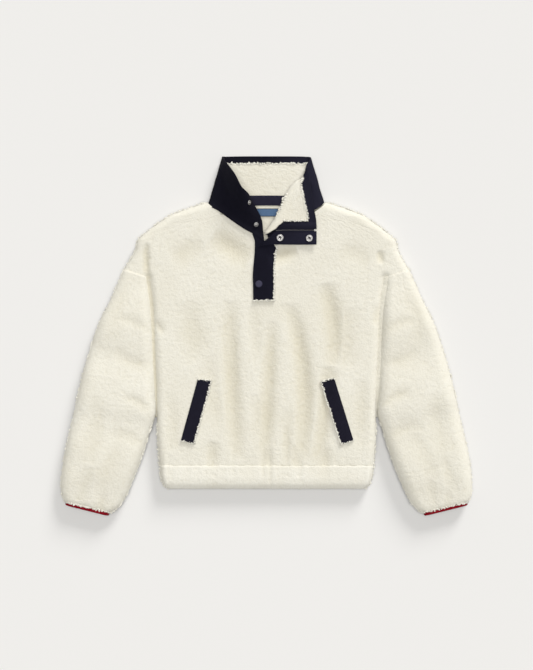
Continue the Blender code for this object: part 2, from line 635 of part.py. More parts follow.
def turned_piece(name, profile, at, direction, finish):
    """A round piece: a profile of radius and height, turned about its axis."""
    mesh = bpy.data.meshes.new(name)
    points = [(radius, 0, height) for radius, height in profile]
    mesh.from_pydata(points, [(k, k + 1) for k in range(len(points) - 1)], [])
    thing = place(name, mesh, finish)
    turn = thing.modifiers.new("Turn", "SCREW")
    turn.steps = turn.render_steps = SNAP_STEPS
    turn.use_merge_vertices = True
    turn.merge_threshold = 0.00001
    thing.rotation_euler = Vector(direction).to_track_quat("Z", "Y").to_euler()
    thing.location = at
    return thing


def top_of(thing, x, y):
    tree = BVHTree.FromObject(thing, bpy.context.evaluated_depsgraph_get())
    return tree.ray_cast(Vector((x, y, 1.0)), Vector((0, 0, -1)))[0]


def make_snaps(lower, turned):
    size = np.array([SNAP_RADIUS, CAP_HEIGHT])
    cap, socket, stud = SNAP_CAP * size, SNAP_SOCKET * size, SNAP_STUD * size
    up = Vector((0, 0, 1))
    gap = up * 2 * SEAM
    turned_piece("snap_cap", cap, top_of(lower, *CAP_AT) + gap, up, "navy_metal")
    for number, at in enumerate(SOCKETS_AT, 1):
        turned_piece(f"snap_socket_{number}", socket, top_of(turned, *at) + gap, up, "metal")
    for number, (station, share) in enumerate(STUDS_AT, 1):
        near = np.array([station - 0.05, station, station + 0.05])
        paths = collar_paths(near)
        normals = collar_normals(paths)[1]
        step = share * (paths.shape[1] - 1)
        k = int(step)
        at = paths[1, k] + (step - k) * (paths[1, k + 1] - paths[1, k])
        out = -Vector(normals[k] + (step - k) * (normals[k + 1] - normals[k])).normalized()
        seat = Vector(at) + out * (NAVY + 4 * SEAM)
        turned_piece(f"snap_stud_{number}", stud, seat, out, "metal")


def make_zip():
    curve = bpy.data.curves.new("zip_chain", "CURVE")
    curve.dimensions = "3D"
    curve.bevel_depth = CHAIN_RADIUS
    curve.bevel_resolution = 2
    curve.use_fill_caps = True
    spline = curve.splines.new("POLY")
    spline.points.add(len(CHAIN) - 1)
    for point, at in zip(spline.points, CHAIN):
        point.co = (*at, 1)
    place("zip_chain", curve, "metal")
    make_block("zip_top_stop", STOP_AT, STOP_SIZE, "metal")


def make_block(name, centre, size, finish):
    bpy.ops.mesh.primitive_cube_add(size=1, location=centre)
    block = bpy.context.object
    mesh = block.data
    for vertex in mesh.vertices:
        vertex.co = Vector([a * b for a, b in zip(vertex.co, size)])
    mesh.name = name
    bpy.data.objects.remove(block)
    place(name, mesh, finish).location = centre


def make_inside_of_neck():
    z = SHERPA + INSIDE_GAP
    columns = np.linspace(-TAPE_HALF_LENGTH, TAPE_HALF_LENGTH, 9)
    x, across = np.meshgrid(columns, np.array([-0.5, 0.5]) * TAPE_WIDTH, indexing="ij")
    bend = -BACK_NECK_RISE * (x / NECK_HALF) ** 2
    lower = np.stack([x, TAPE_Y + across + bend, np.full_like(x, z)], -1)
    wall("neck_tape", lower + np.array([0, 0, TAPE_HEIGHT]), lower, "navy")
    size = Vector((*LABEL_SIZE, LABEL_HEIGHT))
    make_block("label", Vector((*LABEL_CENTRE, z + LABEL_HEIGHT / 2)), size, "blue")


def main():
    for thing in list(bpy.data.objects):
        bpy.data.objects.remove(thing)
    collection = bpy.data.collections.new("sherpa_pullover")
    bpy.context.scene.collection.children.link(collection)
    make_finishes()
    front = make_front()
    make_back()
    make_sleeve("left", -1)
    make_sleeve("right", 1)
    make_hem_bands()
    make_collar()
    bpy.context.view_layer.update()
    make_welts(front)
    lower, turned = make_flaps(front)
    bpy.context.view_layer.update()
    make_snaps(lower, turned)
    make_zip()
    make_inside_of_neck()


main()
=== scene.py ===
"""Looks of a sherpa pullover jacket laid flat: its pile, navy trim, snaps, zip and bindings.

The jacket lies on z = 0 with its collar towards +Y and its front up, in metres.
Left and right are those of someone looking down at it. Tables are in millimetres, scaled by MM.
"""

import math

import bpy
import numpy as np
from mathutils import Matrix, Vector


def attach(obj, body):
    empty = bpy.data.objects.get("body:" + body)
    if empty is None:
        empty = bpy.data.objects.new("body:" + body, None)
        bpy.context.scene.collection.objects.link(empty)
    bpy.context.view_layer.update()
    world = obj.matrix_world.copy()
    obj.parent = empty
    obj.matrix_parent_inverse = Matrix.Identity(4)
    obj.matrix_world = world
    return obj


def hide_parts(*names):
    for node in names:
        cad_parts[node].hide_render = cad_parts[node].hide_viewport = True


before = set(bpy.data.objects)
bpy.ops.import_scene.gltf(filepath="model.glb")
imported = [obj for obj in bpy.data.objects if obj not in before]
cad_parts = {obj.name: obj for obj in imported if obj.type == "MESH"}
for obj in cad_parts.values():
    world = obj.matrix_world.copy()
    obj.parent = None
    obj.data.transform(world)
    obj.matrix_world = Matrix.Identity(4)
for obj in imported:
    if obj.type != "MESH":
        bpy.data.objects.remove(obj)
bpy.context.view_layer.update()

bl_info = {
    "name": "Sherpa pullover jacket",
    "version": (1, 0, 0),
    "blender": (4, 5, 0),
    "location": "3D View > Sidebar > Jacket",
    "description": "Builds the cloth, trim and stage of a sherpa pullover jacket laid flat",
    "category": "Object",
}

MM = 0.001

# cloth
SHERPA = 0.0065  # wall of the body and sleeves, pile included
LINING = 0.0045  # wall of the collar's sherpa lining
NAVY = 0.0014  # one layer of the navy cloth
DOUBLE_NAVY = 0.0024  # a folded strip of it
BAND = 0.0080  # folded sherpa of the hem band
SEAM = 0.0002  # half of the gap left at a seam
LAP = 0.0010  # how far sewn sherpa pieces run past their seam
SEAM_REACH = 0.0035  # how far from a seam its pile is sunk
PILE_BELOW, PILE_ABOVE = 0.55, 0.45  # shares of the pile's height to either side of the wall's outside
FOLD_SHADE, FOLD_SHADE_DEPTH = 0.72, 0.0045  # most warmth of a fold's shade, and the depth it levels off at
TOUCHING = 0.0001  # what is sewn or pressed on a piece stands off it by this
# small unevenness: depth, size, seed
SLEEVE_PUFF = (0.0012, 0.045, 41.0)
BAND_WAVER = (0.0012, 0.008, 109.0)
COLLAR_WRINKLES = ((0.0009, 0.034, 53.0), (0.0004, 0.013, 59.0))
TAPE_RIPPLE = (0.0003, 0.012, 83.0)

# body
BODY_TOP = 0.0275  # height of the front where it lies smooth
SIDE_MID = 0.0130  # height of the side fold
TOP_ROUND = 0.0160  # how far the front curves in from the side fold
UNDER_ROUND = 0.0130  # how far the back does
STRIP_LENGTH = 0.16  # longest row of the back's strip that comes over the shoulders
HEM_Y = -0.273
HEM_DIP, HEM_DIP_REACH = 0.0006, 0.0200
ARMHOLE_Y = 0.120  # inner end of the armhole seam
ARMHOLE_X, SHOULDER_X = 0.247, 0.299
CREASE_LIFT, CREASE_REACH = 0.0035, 0.014  # the side fold opens out where it meets the armhole
# y, height of the valley between the body and a sleeve
CREASE_FLOOR = np.array([(-172, 9.0), (-152, 15.0), (-110, 18.0), (60, 20.0), (104, 21.5), (122, 25.0)]) * MM
# the pile in the creases: side, half width, lift, rise of its edges, lean towards the sleeve, shade
CREASES = (
    ("left", -1, 0.0070, 0.0, 0.0018, 0.0, 0.95),
    ("right", 1, 0.0105, 0.0026, -0.0022, 0.0030, 0.2),
)
CREASE_TOP_Y, CREASE_END_Y, CREASE_LENGTH = 0.122, -0.172, 0.29
CREASE_WALL = 0.0036  # thickness of their pile at the valley
CREASE_RISES_Y = -0.165  # where their lift begins, and grows upwards
CREASE_SINKS_Y, CREASE_SINK = 0.090, 0.0030  # where they begin to go under the shoulder, and how far
OUTLINE_Z, ARM_INSET = 0.0185, 0.0016  # the outline's tufts: height, and how far in on the arms
NECK_CENTRE_X, NECK_POINT_Y, NECK_TOP_Y = -0.004, 0.197, 0.251
BACK_TOP_Y, BACK_NECK_RISE, NECK_HALF = 0.277, 0.005, 0.121
SLIT_HALF, SLIT_BOTTOM_Y = 0.0015, 0.082
# how the pile is sunk at the armhole seam, which slopes, and at the shoulder seam: how much, how near
ARMHOLE_SUNK, ARMHOLE_SEAM, ARMHOLE_SLOPE = 0.12, 0.003, 0.3
SHOULDER_SUNK, SHOULDER_REACH = 0.2, 0.009
# inside of the neck: half width, lowest y, and depth of the pile that shows there
NECK_INSIDE, NECK_INSIDE_Y, NECK_PILE = 0.14, 0.16, 0.0022

# y, half width of the body below the armholes
SIDE = np.array([(-275, 224), (-204, 229), (-157, 229), (-31, 234), (74, 240), (121, 247)]) * MM
# y, half width of the body above them, up to the side of the neck
SHOULDER = np.array(
    [(118, 309), (136, 299), (150, 290), (162, 283), (176, 276), (190, 273), (200, 270), (212, 255),
     (225, 240), (237, 222), (250, 204), (262, 172), (271, 146), (277, 127), (290, 100)]
) * MM
# y, distance of the shoulder seam from the middle
SHOULDER_SEAM = np.array(
    [(197, 270.8), (208, 252), (217, 231), (226, 206), (235, 182), (248, 112), (253, 90)]
) * MM
# y, distance of the neck seam to the left and right of the middle
NECK = np.array(
    [(197, 7, 6), (212, 30, 28), (226, 55, 51), (235, 68, 65), (244, 80, 79), (254, 94, 97),
     (262, 104, 109), (271, 119, 119.5), (277, 123, 123)]
) * MM
# y, how much higher a row's outer end lies, from the armhole up
ARM_RISE = np.array([(120, 16), (127, 14), (138, 10), (155, 4), (176, 0), (300, 0)]) * MM
# folds of the front: x and y of both ends, sideways bow, width, depth
FRONT_FOLDS = np.array(
    [
        (-74, 72, -60, -262, -5, 16, 5.5),
        (12, 30, -6, -268, 0, 14, 5.0),
        (48, 66, 68, -268, 20, 16, 6.5),
        (130, -60, 104, -268, 4, 14, 5.5),
        (122, 108, 137, -66, 10, 17, 6.0),
        (42, -176, 42, -276, 0, 9, 3.0),
        # These two troughs, under the collar's lower edge and under the turned flap, are real, and their
        # fold shade also paints the shadow that the collar and flap cast there.
        (-113, 209, -34, 154, 0, 22, 5.5),
        (2, 158, 64, 178, 0, 14, 6.0),
        (-112, -222, -114, -280, 0, 13, 3.0),
        (-2, -226, 1, -280, 0, 13, 3.0),
        (62, -224, 60, -280, 0, 13, 3.0),
        (119, -226, 121, -280, 0, 13, 3.0),
        (-248, 116, -250, 190, 2, 6, 5.5),
        (236, 176, 238, 148, 0, 7, 4.0),
        (-232, 30, -214, 2, 0, 9, 2.5),
        (233, 60, 226, 20, 0, 8, 2.5),
        (-168, 70, -150, -60, 6, 24, 2.2),
        (-122, -40, -98, -196, -4, 20, 2.0),
        (176, 60, 170, -70, -6, 22, 2.4),
        (196, -90, 190, -236, 4, 16, 2.2),
        (-30, 60, -16, -60, 0, 14, 1.8),
        (-20, -120, -12, -236, 3, 15, 2.0),
        (52, -150, 44, -250, -3, 14, 1.8),
        (-196, 150, -130, 190, 6, 20, 1.8),
        (150, 176, 216, 150, 6, 20, 1.8),
        (-202, -120, -196, -244, 4, 14, 1.8),
    ]
) * MM
# folds of the sleeves, drawn on the right one: x and y of both ends, bow, width, depth
SLEEVE_FOLDS = np.array(
    [
        (240, 4, 330, 30, 10, 10, 2.6),
        (234, -60, 318, -30, -8, 12, 2.4),
        (238, -150, 300, -118, 6, 10, 3.0),
        (252, -214, 330, -190, 8, 12, 2.4),
        (296, 96, 318, -20, 6, 16, 2.0),
        (350, -120, 372, -250, -6, 18, 2.4),
        (300, -200, 350, -318, 5, 16, 2.2),
        (392, -330, 366, -250, 0, 12, 2.4),
        (350, -362, 338, -290, 0, 11, 2.4),
        (376, -362, 380, -318, 0, 8, 2.0),
    ]
) * MM
# folds of the back, seen from below
BACK_FOLDS = np.array(
    [(-120, 120, -90, -200, 8, 20, 2.0), (60, 60, 80, -230, -8, 22, 2.0), (150, 160, 120, -60, 5, 18, 1.6)]
) * MM
GATHER_SPACING, GATHER_DEPTH, GATHER_REACH = 0.030, 0.0011, 0.036

# sleeve rings, right side: x and y of the outer end, x and y of the inner end, height, corner
SLEEVE = np.array(
    [
        (299.2, 135.6, 247.9, 119.5, 27.5, 16),
        (311, 108, 245.5, 97, 29, 18),
        (326, 74, 241.3, 62, 32, 22),
        (351, 23, 237.8, -2, 34, 24),
        (368, -27, 235.2, -62, 31, 24),
        (383, -78, 232.8, -118, 34, 26),
        (395, -128, 231.6, -163, 35, 26),
        (404, -170, 242.5, -200, 32, 26),
        (418, -229, 262, -262, 34, 26),
        (427, -279, 279, -304, 33, 26),
        (430, -319, 296, -342, 29, 22),
        (426, -340, 311, -362, 27, 18),
        (420, -350, 328, -373, 24, 15),
    ]
) * MM
RING_MID, RING_UNDER_ROUND = 0.0135, 0.0140
SLEEVE_UNDER = 0.8  # share of the first step between rings that the sleeve runs on under the body
SLEEVE_FOLD_SHARE, LEFT_FOLDS = 0.65, 0.92  # of the folds' depth; spacing of those on the left sleeve
SLEEVE_LAP, SLEEVE_LAP_REACH = 0.0010, 0.030  # rise of the sleeve over the armhole seam, and its reach
BINDING_WALL, BINDING_LENGTH, BINDING_INSET = 0.0026, 0.0050, 0.0012
CUFF_SHOWN = 0.0035  # how much more of the binding shows than its free length

# hem band: share of its height, half width, height of the front layer
BAND_HEIGHT = 0.048
BAND_ROWS = np.array(
    [(0.006, 224, 27.2), (0.14, 223.5, 27.3), (0.36, 223, 27.4), (0.62, 220, 27.0), (0.86, 215, 24.0),
     (1.0, 208, 18)]
)
BAND_ROWS[:, 1:] *= MM
BAND_MID, BAND_ROUND = 0.0105, 0.0125
# share of the band's height where its lower fold begins, how far it thins each layer there, its rise
BAND_FOLD_FROM, FRONT_THINNED, BACK_THINNED = 0.8, 0.35, 0.45
BAND_FOLD_RISE = 0.003

# collar stations from the left front edge round the back to the right front edge:
# base x y z, middle or roll x y z, top x y z, bow of the turned-out cloth, how far it is rolled (0 to 1)
COLLAR = np.array(
    [
        (-5, 198.5, 26, -11.5, 243, 33, -38.5, 293, 40, 0, 0),
        (-24, 212, 26, -35, 256, 40, -43, 297, 52, 0, 0),
        (-48, 226, 26, -54, 268, 42, -55, 311, 63, 0, 0),
        (-74, 244, 25, -74, 288, 38, -67, 333, 60, 0, 0),
        (-99, 262, 22, -92, 311, 27, -84, 358, 38, 0, 0),
        (-114, 270, 20, -103, 322, 21, -89.5, 369, 24, 0, 0),
        (-119.5, 276, 11.5, -104.5, 326, 11.5, -91.5, 373, 12, 0, 0),
        (-104, 280.5, 2.2, -95, 328, 2.2, -82, 374, 2.2, 0, 0),
        (-50, 283, 2.2, -48, 329, 2.2, -44, 374.5, 2.2, 0, 0),
        (0, 283, 2.2, 0, 329, 2.2, 0, 374.5, 2.2, 0, 0),
        (50, 283, 2.2, 48, 329, 2.2, 44, 374.5, 2.2, 0, 0),
        (104, 280.5, 2.2, 98, 328, 2.2, 80, 374, 2.2, 0, 0),
        (119, 278, 11.5, 106, 322, 11.5, 91.5, 371, 9, 0, 0),
        (115, 271, 19.5, 96, 315, 19.5, 87, 360, 16, 0, 0),
        (109, 266, 22.5, 78, 322, 21, 84, 350, 25, 0, 0.6),
        (101, 261, 24.5, 70, 319, 21, 88, 336, 30, 0, 1),
        (88, 253.5, 26, 58, 307, 21.5, 90.5, 316, 33.5, 0, 1),
        (72, 244, 26, 46, 288, 22.5, 93, 298, 35, 0, 1),
        (52, 231.5, 26, 36, 266, 24, 98, 265, 36, 0, 1),
        (26, 215.5, 26, 24, 240, 25.5, 103, 240, 35, 2, 1),
        (3, 202, 26, 2, 210, 27, 104, 221, 33, 9, 1),
    ]
) * MM
COLLAR[:, 10] /= MM
ROLL = 0.0044  # radius of the turned-out cloth's roll
SPREAD = 0.07  # share of the height that the middle points lie apart where nothing is rolled
FACING_SHARE = 0.62  # most of the turned-out cloth that the facing may take
# station, width of the facing there
FACING_WIDTH = np.array([(0, 16), (12, 16), (14, 19.5), (16.5, 19.5), (18, 16.5), (20, 16)]) * [1, MM]
TURNED_SHARES = 0.25, 0.62  # places of the two points between the roll and the facing
PINCH_STATION, PINCH_REACH, PINCH = 14.2, 1.4, 0.66  # where the lining is squeezed, and how far
SKIRT, SKIRT_REACH = 0.0040, 0.007  # how far the collar's base spreads over the front, from how far up
SKIRT_END = 6.5  # station where it stops
# where the turned-out lining stops above the zip band: x, y; and from which station and place up
BAND_EDGE = np.array([(-6, 190), (-3, 196), (19, 217), (36, 235.5), (104, 233.5)]) * MM
BAND_FROM = (18.6, 4.2)
# zip band: x of both ends of its lower and of its upper edge, y of the upper edge, height
ZIP_BAND_X = (0.0185, 0.104), (0.036, 0.1035)
ZIP_BAND_TOP, ZIP_BAND_HEIGHT = 0.2362, 0.0352
# steps to either side of a place on the collar, where its directions are worked out
BESIDE = np.array([-0.05, 0, 0.05])

# turned-out end of the flap: x and y of its upper edge, x and y of its lower edge, height
FLAP_TURNED = np.array(
    [
        (-9, 191, -17, 183.5, 32.2),
        (6, 203, -5, 186, 32.8),
        (19, 214.5, 15, 188, 32.4),
        (42, 216.2, 42, 188, 31.4),
        (73, 216.0, 73, 188, 31.8),
        (104, 215.6, 104, 188, 33.2),
    ]
) * MM
# lower flap: y, x of its left and right edges
FLAP_LOWER = np.array(
    [
        (72.5, -27.5, 14),
        (100, -28, 15),
        (122, -28.6, 15.3),
        (150, -26.7, 15.3),
        (170, -24.8, 16.5),
        (188, -24.4, 15),
        (196, -24.6, -5),
        (203, -27, -15),
        (210, -29.5, -25.5),
    ]
) * MM
# welts: x and y of the top outer, top inner, bottom inner and bottom outer corners
WELTS = {
    "left": np.array([(-143, -92), (-115, -96), (-151, -226), (-178, -219)]) * MM,
    "right": np.array([(141, -90), (113, -97), (155, -227), (181, -219)]) * MM,
}
LYING_GAP = 0.0008  # between the front's pile and a strip that lies on it

# snaps
SNAP_RADIUS, CAP_HEIGHT = 0.00725, 0.0030
CAP_AT = (-0.016, 0.106)
SOCKETS_AT = ((0.028, 0.202), (0.089, 0.201))
STUDS_AT = ((0.62, 0.20), (0.80, 0.80))  # station, share of the collar's height
STUD_TILT = np.array([0.8, -0.16, 0])  # lean of a stud at the collar's top
# profiles from the axis outwards, as shares of the radius and of the cap's height
CAP = np.array(
    [(0, 0.93), (0.3, 0.95), (0.55, 0.93), (0.72, 0.98), (0.86, 0.86), (0.97, 0.55), (1, 0.25), (0.96, 0),
     (0, 0)]
)
SOCKET = np.array(
    [(0, -0.15), (0.14, 0.02), (0.32, 0.26), (0.40, 0.62), (0.52, 0.72), (0.62, 0.52), (0.74, 0.50),
     (0.90, 0.62), (1.0, 0.34), (0.97, 0), (0, 0)]
)
STUD = np.array(
    [(0, 1.05), (0.20, 1.02), (0.29, 0.86), (0.25, 0.55), (0.30, 0.32), (0.48, 0.30), (0.60, 0.26),
     (0.64, 0), (0, 0)]
)

# zip: x, y and height of the chain; half sizes of a tooth along, across and up; the stop
CHAIN = np.array(
    [(20.5, 217, 33.4), (32, 217.8, 33.2), (48, 218.1, 33.0), (76, 217.8, 33.2), (99, 217.7, 34.4)]
) * MM
TOOTH_PITCH, TOOTH_SLIDE = 0.00125, 0.00022
TOOTH = np.array([0.46, 1.15, 1.05]) * MM
ZIP_STOP_AT, ZIP_STOP = np.array([101.3, 217.7, 35.8]) * MM, np.array([1.9, 1.8, 1.3]) * MM

# topstitching: gap as a share of a stitch, half sizes of the thread across and up, its height
STITCH_GAP, THREAD_HALF, THREAD_LIFT = 0.45, (0.00032, 0.00030), 0.00012
STITCH_INSET = 0.0025  # from the flap's sides

# inside of the neck
TAPE_Y, TAPE_HALF_LENGTH, TAPE_WIDTH, TAPE_HEIGHT = 0.2815, 0.076, 0.021, 0.0012
LABEL_CENTRE, LABEL_SIZE, LABEL_HEIGHT = (0.002, 0.2565), (0.044, 0.017), 0.0009
INSIDE_GAP = 0.0006

# stage
FLOOR_HALF, FLOOR_GAP = 6.0, 0.0006
LAMPS = (("window", (0.95, 2.05, 0.90), 20), ("ceiling", (0, 0, 2.0), 34))  # place, and width in degrees
LENS, SENSOR = 85, 36


# ---------------------------------------------------------------- settings


class PileSettings(bpy.types.PropertyGroup):
    """Sizes and colours of the sherpa."""

    step: bpy.props.FloatProperty(
        name="Mesh step", description="Distance between points of the sherpa", default=0.0025, unit="LENGTH"
    )
    height: bpy.props.FloatProperty(
        name="Pile height", description="Depth of the curls of the pile", default=0.0019, unit="LENGTH"
    )
    curl: bpy.props.FloatProperty(
        name="Curl", description="Distance between neighbouring curls", default=0.0062, unit="LENGTH"
    )
    tuft: bpy.props.FloatProperty(
        name="Tuft", description="Radius of the tufts that overlap sewn edges", default=0.0017, unit="LENGTH"
    )
    light: bpy.props.FloatVectorProperty(
        name="Cream", description="Colour of the tips of the pile", subtype="COLOR", size=3,
        default=(0.91, 0.89, 0.80),
    )
    # Deep cream is the colour of the painted shade between the curls and in seams, folds and creases.
    deep: bpy.props.FloatVectorProperty(
        name="Deep cream", description="Colour between the curls", subtype="COLOR", size=3,
        default=(0.71, 0.665, 0.525),
    )


class NavySettings(bpy.types.PropertyGroup):
    """Colours of the navy trim."""

    cloth: bpy.props.FloatVectorProperty(
        name="Navy", description="Colour of the collar and flap", subtype="COLOR", size=3,
        default=(0.0042, 0.0040, 0.0095),
    )
    welt: bpy.props.FloatVectorProperty(
        name="Welt navy", description="Colour of the welts and neck tape", subtype="COLOR", size=3,
        default=(0.0090, 0.0082, 0.0165),
    )
    thread: bpy.props.FloatVectorProperty(
        name="Thread", description="Colour of the topstitching", subtype="COLOR", size=3,
        default=(0.015, 0.015, 0.030),
    )
    twill: bpy.props.FloatProperty(
        name="Twill", description="Width of one rib of the twill", default=0.0009, unit="LENGTH"
    )
    stitch: bpy.props.FloatProperty(
        name="Stitch", description="Length of one stitch", default=0.0026, unit="LENGTH"
    )


class TrimSettings(bpy.types.PropertyGroup):
    """Colours of the snaps, zip, bindings and label."""

    nickel: bpy.props.FloatVectorProperty(
        name="Nickel", description="Colour of the zip and open snaps", subtype="COLOR", size=3,
        default=(0.44, 0.43, 0.42),
    )
    cap: bpy.props.FloatVectorProperty(
        name="Cap", description="Colour of the closed snap's enamel", subtype="COLOR", size=3,
        default=(0.034, 0.032, 0.068),
    )
    red: bpy.props.FloatVectorProperty(
        name="Red", description="Colour of the cuff bindings", subtype="COLOR", size=3,
        default=(0.40, 0.007, 0.020),
    )
    blue: bpy.props.FloatVectorProperty(
        name="Blue", description="Colour of the label", subtype="COLOR", size=3,
        default=(0.055, 0.125, 0.245),
    )


class StageSettings(bpy.types.PropertyGroup):
    """Floor, lamps and camera."""

    floor: bpy.props.FloatVectorProperty(
        name="Floor", description="Colour of the floor", subtype="COLOR", size=3, default=(0.86, 0.855, 0.84)
    )
    soft: bpy.props.FloatProperty(
        name="Fill", description="Strength of the even light from all round", default=0.16, min=0
    )
    ceiling: bpy.props.FloatProperty(
        name="Ceiling", description="Strength of the light from overhead", default=1.87, min=0
    )
    lamp: bpy.props.FloatProperty(
        name="Lamp", description="Strength of the light from beyond the collar", default=2.12, min=0
    )
    camera: bpy.props.FloatProperty(
        name="Camera height", description="Height of the camera over the table", default=3.32, unit="LENGTH"
    )


# ---------------------------------------------------------------- patterns worked out in numpy


def scattered(cells, seed):
    """Three even random numbers for each whole-number cell: the fraction of a large multiple of a sine."""
    mixed = np.stack(
        [
            cells @ np.array([127.1, 311.7, 74.7]) + seed,
            cells @ np.array([269.5, 183.3, 246.1]) + 2 * seed,
            cells @ np.array([113.5, 271.9, 124.6]) + 3 * seed,
        ],
        -1,
    )
    return np.mod(np.sin(mixed) * 43758.5453, 1.0)


def drift(points, size, seed):
    """Smooth random values from -1 to 1: a cell's corner values, blended by 3t^2 - 2t^3 on each axis."""
    place = points / size
    cell = np.floor(place)
    share = place - cell
    share = share * share * (3 - 2 * share)
    total = np.zeros(points.shape[:-1])
    for corner in np.ndindex(2, 2, 2):
        step = np.array(corner)
        weight = np.where(step == 1, share, 1 - share).prod(-1)
        total += weight * scattered(cell + step, seed)[..., 0]
    return 2 * total - 1


def nubs(points, size, seed):
    """Rounded lumps: one scattered centre to a cell, and 1 less the squared distance to the nearest."""
    place = points / size
    cell = np.floor(place)
    nearest = np.full(points.shape[:-1], 9.0)
    for corner in np.ndindex(3, 3, 3):
        beside = cell + np.array(corner) - 1
        centre = beside + scattered(beside, seed)
        nearest = np.minimum(nearest, ((place - centre) ** 2).sum(-1))
    return np.clip(1 - nearest, 0, 1)


def waver(points, pattern):
    """Small unevenness: a pattern's depth times the smooth random values of its size and seed."""
    depth, size, seed = pattern
    return depth * drift(points, size, seed)


def pile(points):
    """Height of the pile from 0 to 1: lumps of two sizes on a place that is first shifted in small curls."""
    settings = bpy.context.scene.jacket_pile
    bend = [drift(points, 1.3 * settings.curl, seed) for seed in (3.0, 7.0, 11.0)]
    bent = points + 0.34 * settings.curl * np.stack(bend, -1)
    large = nubs(bent, settings.curl, 17.0)
    small = nubs(bent, 0.62 * settings.curl, 23.0)
    lively = 0.72 + 0.28 * drift(points, 9 * settings.curl, 31.0)
    return np.clip(lively * (0.58 * large + 0.42 * small), 0, 1)


# ---------------------------------------------------------------- shape of the jacket


def follow(keys, values, at):
    """Values at the places `at`, on a smooth curve of cubics through the table's rows."""
    at = np.clip(at, keys[0], keys[-1])
    values = np.asarray(values)
    slopes = np.gradient(values, keys, axis=0)
    k = np.clip(np.searchsorted(keys, at, side="right") - 1, 0, len(keys) - 2)
    span = keys[k + 1] - keys[k]
    t = (at - keys[k]) / span
    if values.ndim > 1:
        t, span = t[..., None], span[..., None]
    rise = values[k] * (2 * t**3 - 3 * t**2 + 1) + values[k + 1] * (3 * t**2 - 2 * t**3)
    lean = slopes[k] * (t**3 - 2 * t**2 + t) + slopes[k + 1] * (t**3 - t**2)
    return rise + lean * span


def side_width(y):
    """Half width of the body below the armholes: a smooth curve through its table."""
    return follow(SIDE[:, 0], SIDE[:, 1], y)


def between(table, at, column=1):
    """A column of a table at the places `at` along its first column, straight from row to row."""
    return np.interp(at, table[:, 0], table[:, column])


def neck_width(y, side):
    """Distance of the neck seam from the middle on one side."""
    return between(NECK, y, 1 if side < 0 else 2)


def at_stations(table, stations):
    """Rows of a table at any station, counted from 0 at its first row, on the smooth curve."""
    return follow(np.arange(len(table), dtype=float), table, stations)


def bell(distance, width):
    """A bell curve: 1 at no distance, falling as e to the minus square of distance over width."""
    return np.exp(-((distance / width) ** 2))


def grown(value, start, length):
    """0 up to a start, then straight up to 1 over a length."""
    return np.clip((value - start) / length, 0, 1)


def upward(height):
    """A step straight up."""
    return np.array([0, 0, height])


def unit(vectors):
    """Vectors drawn to a length of 1."""
    return vectors / np.maximum(np.linalg.norm(vectors, axis=-1, keepdims=True), 1e-12)


def edge_distance(x, y):
    """Distance in from the body's closed outline, and the direction out of it."""
    sign, across = np.where(x < 0, -1.0, 1.0), np.abs(x)
    below = side_width(y) - across
    step = 2 * MM
    lean = (between(SHOULDER, y + step) - between(SHOULDER, y - step)) / (2 * step)
    steep = 1 / np.sqrt(1 + lean**2)
    above = (between(SHOULDER, y) - across) * steep
    to_armhole = np.hypot(across - ARMHOLE_X, y - ARMHOLE_Y)
    low, pit = y <= ARMHOLE_Y, to_armhole < above
    distance = np.where(low, below, np.where(pit, to_armhole, above))
    reach = np.maximum(to_armhole, 1e-6)
    out_x = np.where(low, 1.0, np.where(pit, (ARMHOLE_X - across) / reach, steep)) * sign
    out_y = np.where(low, 0.0, np.where(pit, (ARMHOLE_Y - y) / reach, -lean * steep))
    lifted = CREASE_LIFT * bell(to_armhole, CREASE_REACH)
    return np.maximum(distance, lifted), out_x, out_y


def trough(x, y, folds):
    """How far the cloth sinks: each fold is a soft trough along a bowed line, fading at its ends."""
    depth = np.zeros_like(x)
    for x0, y0, x1, y1, bow, width, deep in folds:
        length = np.hypot(x1 - x0, y1 - y0)
        along_x, along_y = (x1 - x0) / length, (y1 - y0) / length
        t = ((x - x0) * along_x + (y - y0) * along_y) / length
        off = (x - x0) * along_y - (y - y0) * along_x
        inside = np.clip(t, 0, 1)
        off = off + 4 * bow * inside * (1 - inside)
        fade = np.clip(4 * inside * (1 - inside), 0, 1) ** 0.7
        depth = np.maximum(depth, deep * fade * bell(off, width))
    return depth


def fold_shade(depth):
    """The warmer shade in folds: it grows with their depth and levels off."""
    return FOLD_SHADE * np.tanh(depth / FOLD_SHADE_DEPTH)


def gathers(x, y):
    """Small puckers across the hem seam: a row of uneven bumps that fade above and below it."""
    place = x / GATHER_SPACING + 0.35 * np.sin(x / 0.031) + 0.3 * np.sin(x / 0.0117)
    bump = 0.5 - 0.5 * np.cos(2 * np.pi * place)
    uneven = 0.65 + 0.35 * np.sin(x / 0.047 + 1.3)
    reach = GATHER_REACH * (1 + 0.4 * np.sin(x / 0.0213))
    return GATHER_DEPTH * uneven * bump * bell(y - HEM_Y, reach)


def front_height(x, y):
    """Height of the front: its smooth top less the dip at the hem seam, the folds and the gathers."""
    hem = HEM_DIP * bell(y - HEM_Y, HEM_DIP_REACH)
    return BODY_TOP - hem - trough(x, y, FRONT_FOLDS) - gathers(x, y)


def body_surface(x, y, front):
    """A point of the body's outside and the direction out: quarter-ellipse sides, flat between them."""
    distance, out_x, out_y = edge_distance(x, y)
    curve = np.where(front, TOP_ROUND, UNDER_ROUND)
    cosine = np.clip(1 - distance / curve, 0, 1)
    sine = np.sqrt(1 - cosine**2)
    height, step = front_height(x, y), 1 * MM
    slope_x = (front_height(x + step, y) - front_height(x - step, y)) / (2 * step)
    slope_y = (front_height(x, y + step) - front_height(x, y - step)) / (2 * step)
    sunk = trough(x, y, BACK_FOLDS)
    z = np.where(front, SIDE_MID + (height - SIDE_MID) * sine, SIDE_MID * (1 - sine) + sunk * sine)
    tilt = np.where(front, sine, 0)
    normal = np.stack(
        [cosine * out_x - tilt * slope_x, cosine * out_y - tilt * slope_y, np.where(front, sine, -sine)], -1
    )
    return np.stack([x, y, z], -1), unit(normal)


